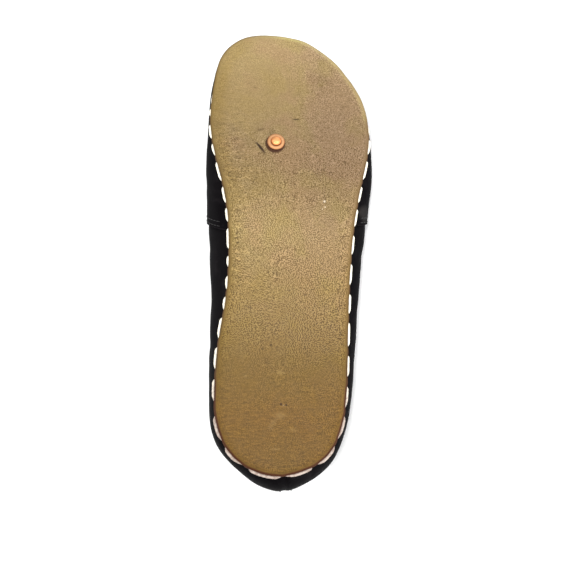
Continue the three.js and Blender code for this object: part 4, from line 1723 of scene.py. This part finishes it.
@dataclass
class Rivet:
    """Copper rivet through both soles, and the burr that its end is hammered over."""

    last: Last
    along: float = 0.708
    across: float = -0.017
    shank: float = 4.0
    peen: float = 6.0
    peen_height: float = 1.3
    burr: float = 10.8
    burr_thickness: float = 1.0
    head: float = 9.0
    head_thickness: float = 1.1
    play: float = 0.25
    around: int = 72
    # The peened end's radius, height and dullness, its dull foot being grime and painted shade
    dome: tuple[tuple[float, float, float], ...] = (
        (0.0, 1.0, 0.0), (0.3, 0.97, 0.0), (0.55, 0.86, 0.1), (0.78, 0.66, 0.2),
        (0.93, 0.42, 0.5), (1.0, 0.15, 0.9), (0.98, 0.0, 1.0))

    def turned(self, piece: Piece, profile: Sequence[tuple[float, float, float]],
               closed: bool = False, hammered: float = 0.0) -> None:
        """Turns a profile about the rivet's axis.

        Args:
            piece: The mesh that takes it.
            profile: Radius, height into the shoe and how dull each point is, the dullest being grime
                and painted shade.
            closed: Whether the profile's end meets its start.
            hammered: How uneven the face is.
        """
        last = self.last
        x = self.along * last.sole_length
        slope = float(last.spring(x + 0.5) - last.spring(x - 0.5))
        axis = np.array([-slope, 0, 1]) / math.hypot(slope, 1)
        ahead = np.cross([0, 1, 0], axis)
        seat = np.array([x, self.across * last.ball_width, float(last.spring(x))])
        angle = np.linspace(0, 2 * np.pi, self.around, endpoint=False)[:, None]
        flat = np.cos(angle) * ahead + np.sin(angle) * [0, 1, 0]
        rings = []
        for radius, height, _ in profile:
            points = seat + flat * max(radius, 0.02) + axis * height
            points = points + axis * (hammered * clouds(points, 1.4, 4.0))[:, None]
            uneven = hammered * (radius > 0.4)
            rings.append(points + flat * (uneven * clouds(points, 2.2, 6.0))[:, None])
        dull = np.repeat([[shade] for _, _, shade in profile], self.around, 1)
        piece.rings(np.array(rings), joined=closed, capped=not closed, hollow=dull)

    def build(self, place: ShoeFrame, finish: Copper,
              burr_finish: Copper) -> list[bpy.types.Object]:
        """Makes the rivet and the burr and stands them in for their solids.

        Args:
            place: The shoe's frame.
            finish: What the rivet is dressed with.
            burr_finish: What the burr is dressed with.

        Returns:
            The objects of the rivet and of the burr.
        """
        last = self.last
        shank, peen, head, radius = (size / 2 for size in (self.shank, self.peen, self.head,
                                                           self.burr))
        seat = last.sole_thickness + last.gap + last.insole_thickness + last.gap
        top = seat + self.head_thickness
        high, deep = -last.gap, -last.gap - self.burr_thickness
        low = deep - self.play
        rivet = Piece("copper_rivet")
        self.turned(rivet, (
            *((share * peen, low - up * self.peen_height, shade) for share, up, shade in self.dome),
            (shank, low, 1.0), (shank, seat, 1.0), (head - 0.1, seat, 1.0),
            (head, seat + 0.25, 0.8), (head - 0.1, top - 0.35, 0.5),
            (head - 0.45, top - 0.1, 0.2), (head - 0.9, top, 0.1), (0.4 * head, top, 0.0),
            (0.0, top, 0.0)), hammered=0.10)
        hole = shank + self.play
        burr = Piece("copper_burr")
        self.turned(burr, (
            (hole, high, 1.0), (hole, deep + 0.2, 1.0), (hole + 0.2, deep, 1.0),
            (peen, deep, 0.9), (peen + 0.5, deep - 0.04, 0.5), (peen + 1.1, deep, 0.35),
            # The outer rim turns dark: painted shade
            (radius - 0.9, deep + 0.02, 0.45), (radius - 0.45, deep + 0.1, 0.72),
            (radius - 0.15, deep + 0.3, 0.82), (radius, deep + 0.65, 0.95),
            (radius - 0.05, high - 0.1, 1.0), (radius - 0.2, high, 1.0)), closed=True,
            hammered=0.05)
        return [rivet.make(place, [finish.material(place)], ["rivet"]),
                burr.make(place, [burr_finish.material(place)], ["burr"])]


@dataclass
class Studio:
    """Pale floor, soft lights, and the camera at the photograph's angle to the sole."""

    place: ShoeFrame
    aim: tuple[float, float, float] = (120.83, 6.5, 0.0)
    from_heel: float = 13.0
    from_inner: float = 4.0
    distance: float = 550.0
    focal: float = 950.6
    image: float = 580.0
    aim_row: float = 262.0
    sensor: float = 36.0
    floor_size: float = 12.0
    floor_tint: Colour = (0.95, 0.95, 0.95)
    surround: float = 0.28

    def build(self) -> None:
        """Makes the floor, the lights and the camera."""
        self.floor()
        self.lights()
        self.camera()

    def back(self) -> Vector:
        """Direction from the sole to the camera."""
        heel, inner = math.radians(self.from_heel), math.radians(self.from_inner)
        return self.place.turn((-math.sin(heel) * math.cos(inner), -math.sin(inner),
                                -math.cos(heel) * math.cos(inner)))

    def floor(self) -> None:
        """Lays a pale floor under the shoe."""
        half = self.floor_size / 2
        mesh = bpy.data.meshes.new("studio_floor")
        mesh.from_pydata([(-half, -half, 0), (half, -half, 0), (half, half, 0), (-half, half, 0)],
                         [], [(0, 1, 2, 3)])
        tree = Tree("studio_floor")
        mesh.materials.append(tree.finish(Base_Color=self.floor_tint, Roughness=0.9,
                                          Specular_IOR_Level=0.1))
        floor = add_object("studio_floor", mesh)

    def lights(self) -> None:
        """Sets a soft light beside the camera, one under it and one behind, and a dim surround."""
        normal, toe = self.place.turn((0, 0, -1)), self.place.turn((1, 0, 0))
        middle = Vector(self.place.place((140.0, 0.0, 0.0)))
        for name, at, size, power in (
                ("key", middle + self.back() * 2.0 + toe * 0.25, 0.7, 50),
                ("fill", middle + normal * 1.2 - Vector((0, 1.0, 0)), 1.4, 12),
                ("rear", middle + Vector((0.1, 1.5, 1.1)), 1.4, 24)):
            data = bpy.data.lights.new(name, "AREA")
            data.size = size
            data.energy = power
            self.put(name, data, at, (middle - at).to_track_quat("-Z", "Y"))
        world = bpy.data.worlds.new("studio")
        bpy.context.scene.world = world
        world.use_nodes = True
        background = world.node_tree.nodes["Background"]
        background.inputs["Color"].default_value = (1.0, 1.0, 1.0, 1.0)
        background.inputs["Strength"].default_value = self.surround
        bpy.context.scene.view_settings.view_transform = "Standard"

    def put(self, name: str, data: bpy.types.ID, at: Vector, turn: Quaternion) -> bpy.types.Object:
        """Puts a light or a camera in its place.

        Args:
            name: Its name.
            data: The light or the camera.
            at: Its place.
            turn: Its rotation.

        Returns:
            The object.
        """
        shape = add_object(name, data)
        shape.rotation_mode = "QUATERNION"
        shape.location = at
        shape.rotation_quaternion = turn
        return shape

    def camera(self) -> None:
        """Places the camera, rolled so that the toe points up."""
        back, toe = self.back(), self.place.turn((1, 0, 0))
        up = (toe - back * toe.dot(back)).normalized()
        lower = (self.image / 2 - self.aim_row) / self.focal
        view = (-back - up * lower).normalized()
        up = (toe - view * toe.dot(view)).normalized()
        data = bpy.data.cameras.new("photo_view")
        data.sensor_fit = "HORIZONTAL"
        data.sensor_width = self.sensor
        data.lens = self.focal / self.image * self.sensor
        data.clip_start, data.clip_end = 0.02, 30.0
        turn = Matrix((view.cross(up), up, -view)).transposed().to_quaternion()
        at = Vector(self.place.place(self.aim)) + back * self.distance * MM
        bpy.context.scene.camera = self.put("photo_view", data, at, turn)


def main() -> None:
    """Builds the shoe and the studio, and reports each piece."""
    logging.basicConfig(level=logging.INFO, format="%(name)s: %(message)s")
    place = ShoeFrame()
    last = Last()
    stitches = RimStitches(last)
    upper = Upper(last, stitches)
    Outsole(last, stitches).build(place, SoleLeather())
    Insole(last).build(place, PlainLeather("insole_leather", tint(176, 144, 100),
                                           tint(120, 88, 54)))
    upper.build(place, UpperLeather(), PlainLeather("lining_leather", tint(58, 50, 44),
                                                    tint(40, 34, 30)))
    stitches.build(place, WaxedThread())
    SeamStitches(upper).build(place, SeamThread())
    Rivet(last).build(place, Copper("rivet_copper", tint(242, 179, 119), tint(204, 123, 68)),
                      Copper("burr_copper", tint(226, 188, 144), tint(194, 142, 98)))
    Studio(place).build()


if __name__ == "__main__":
    main()
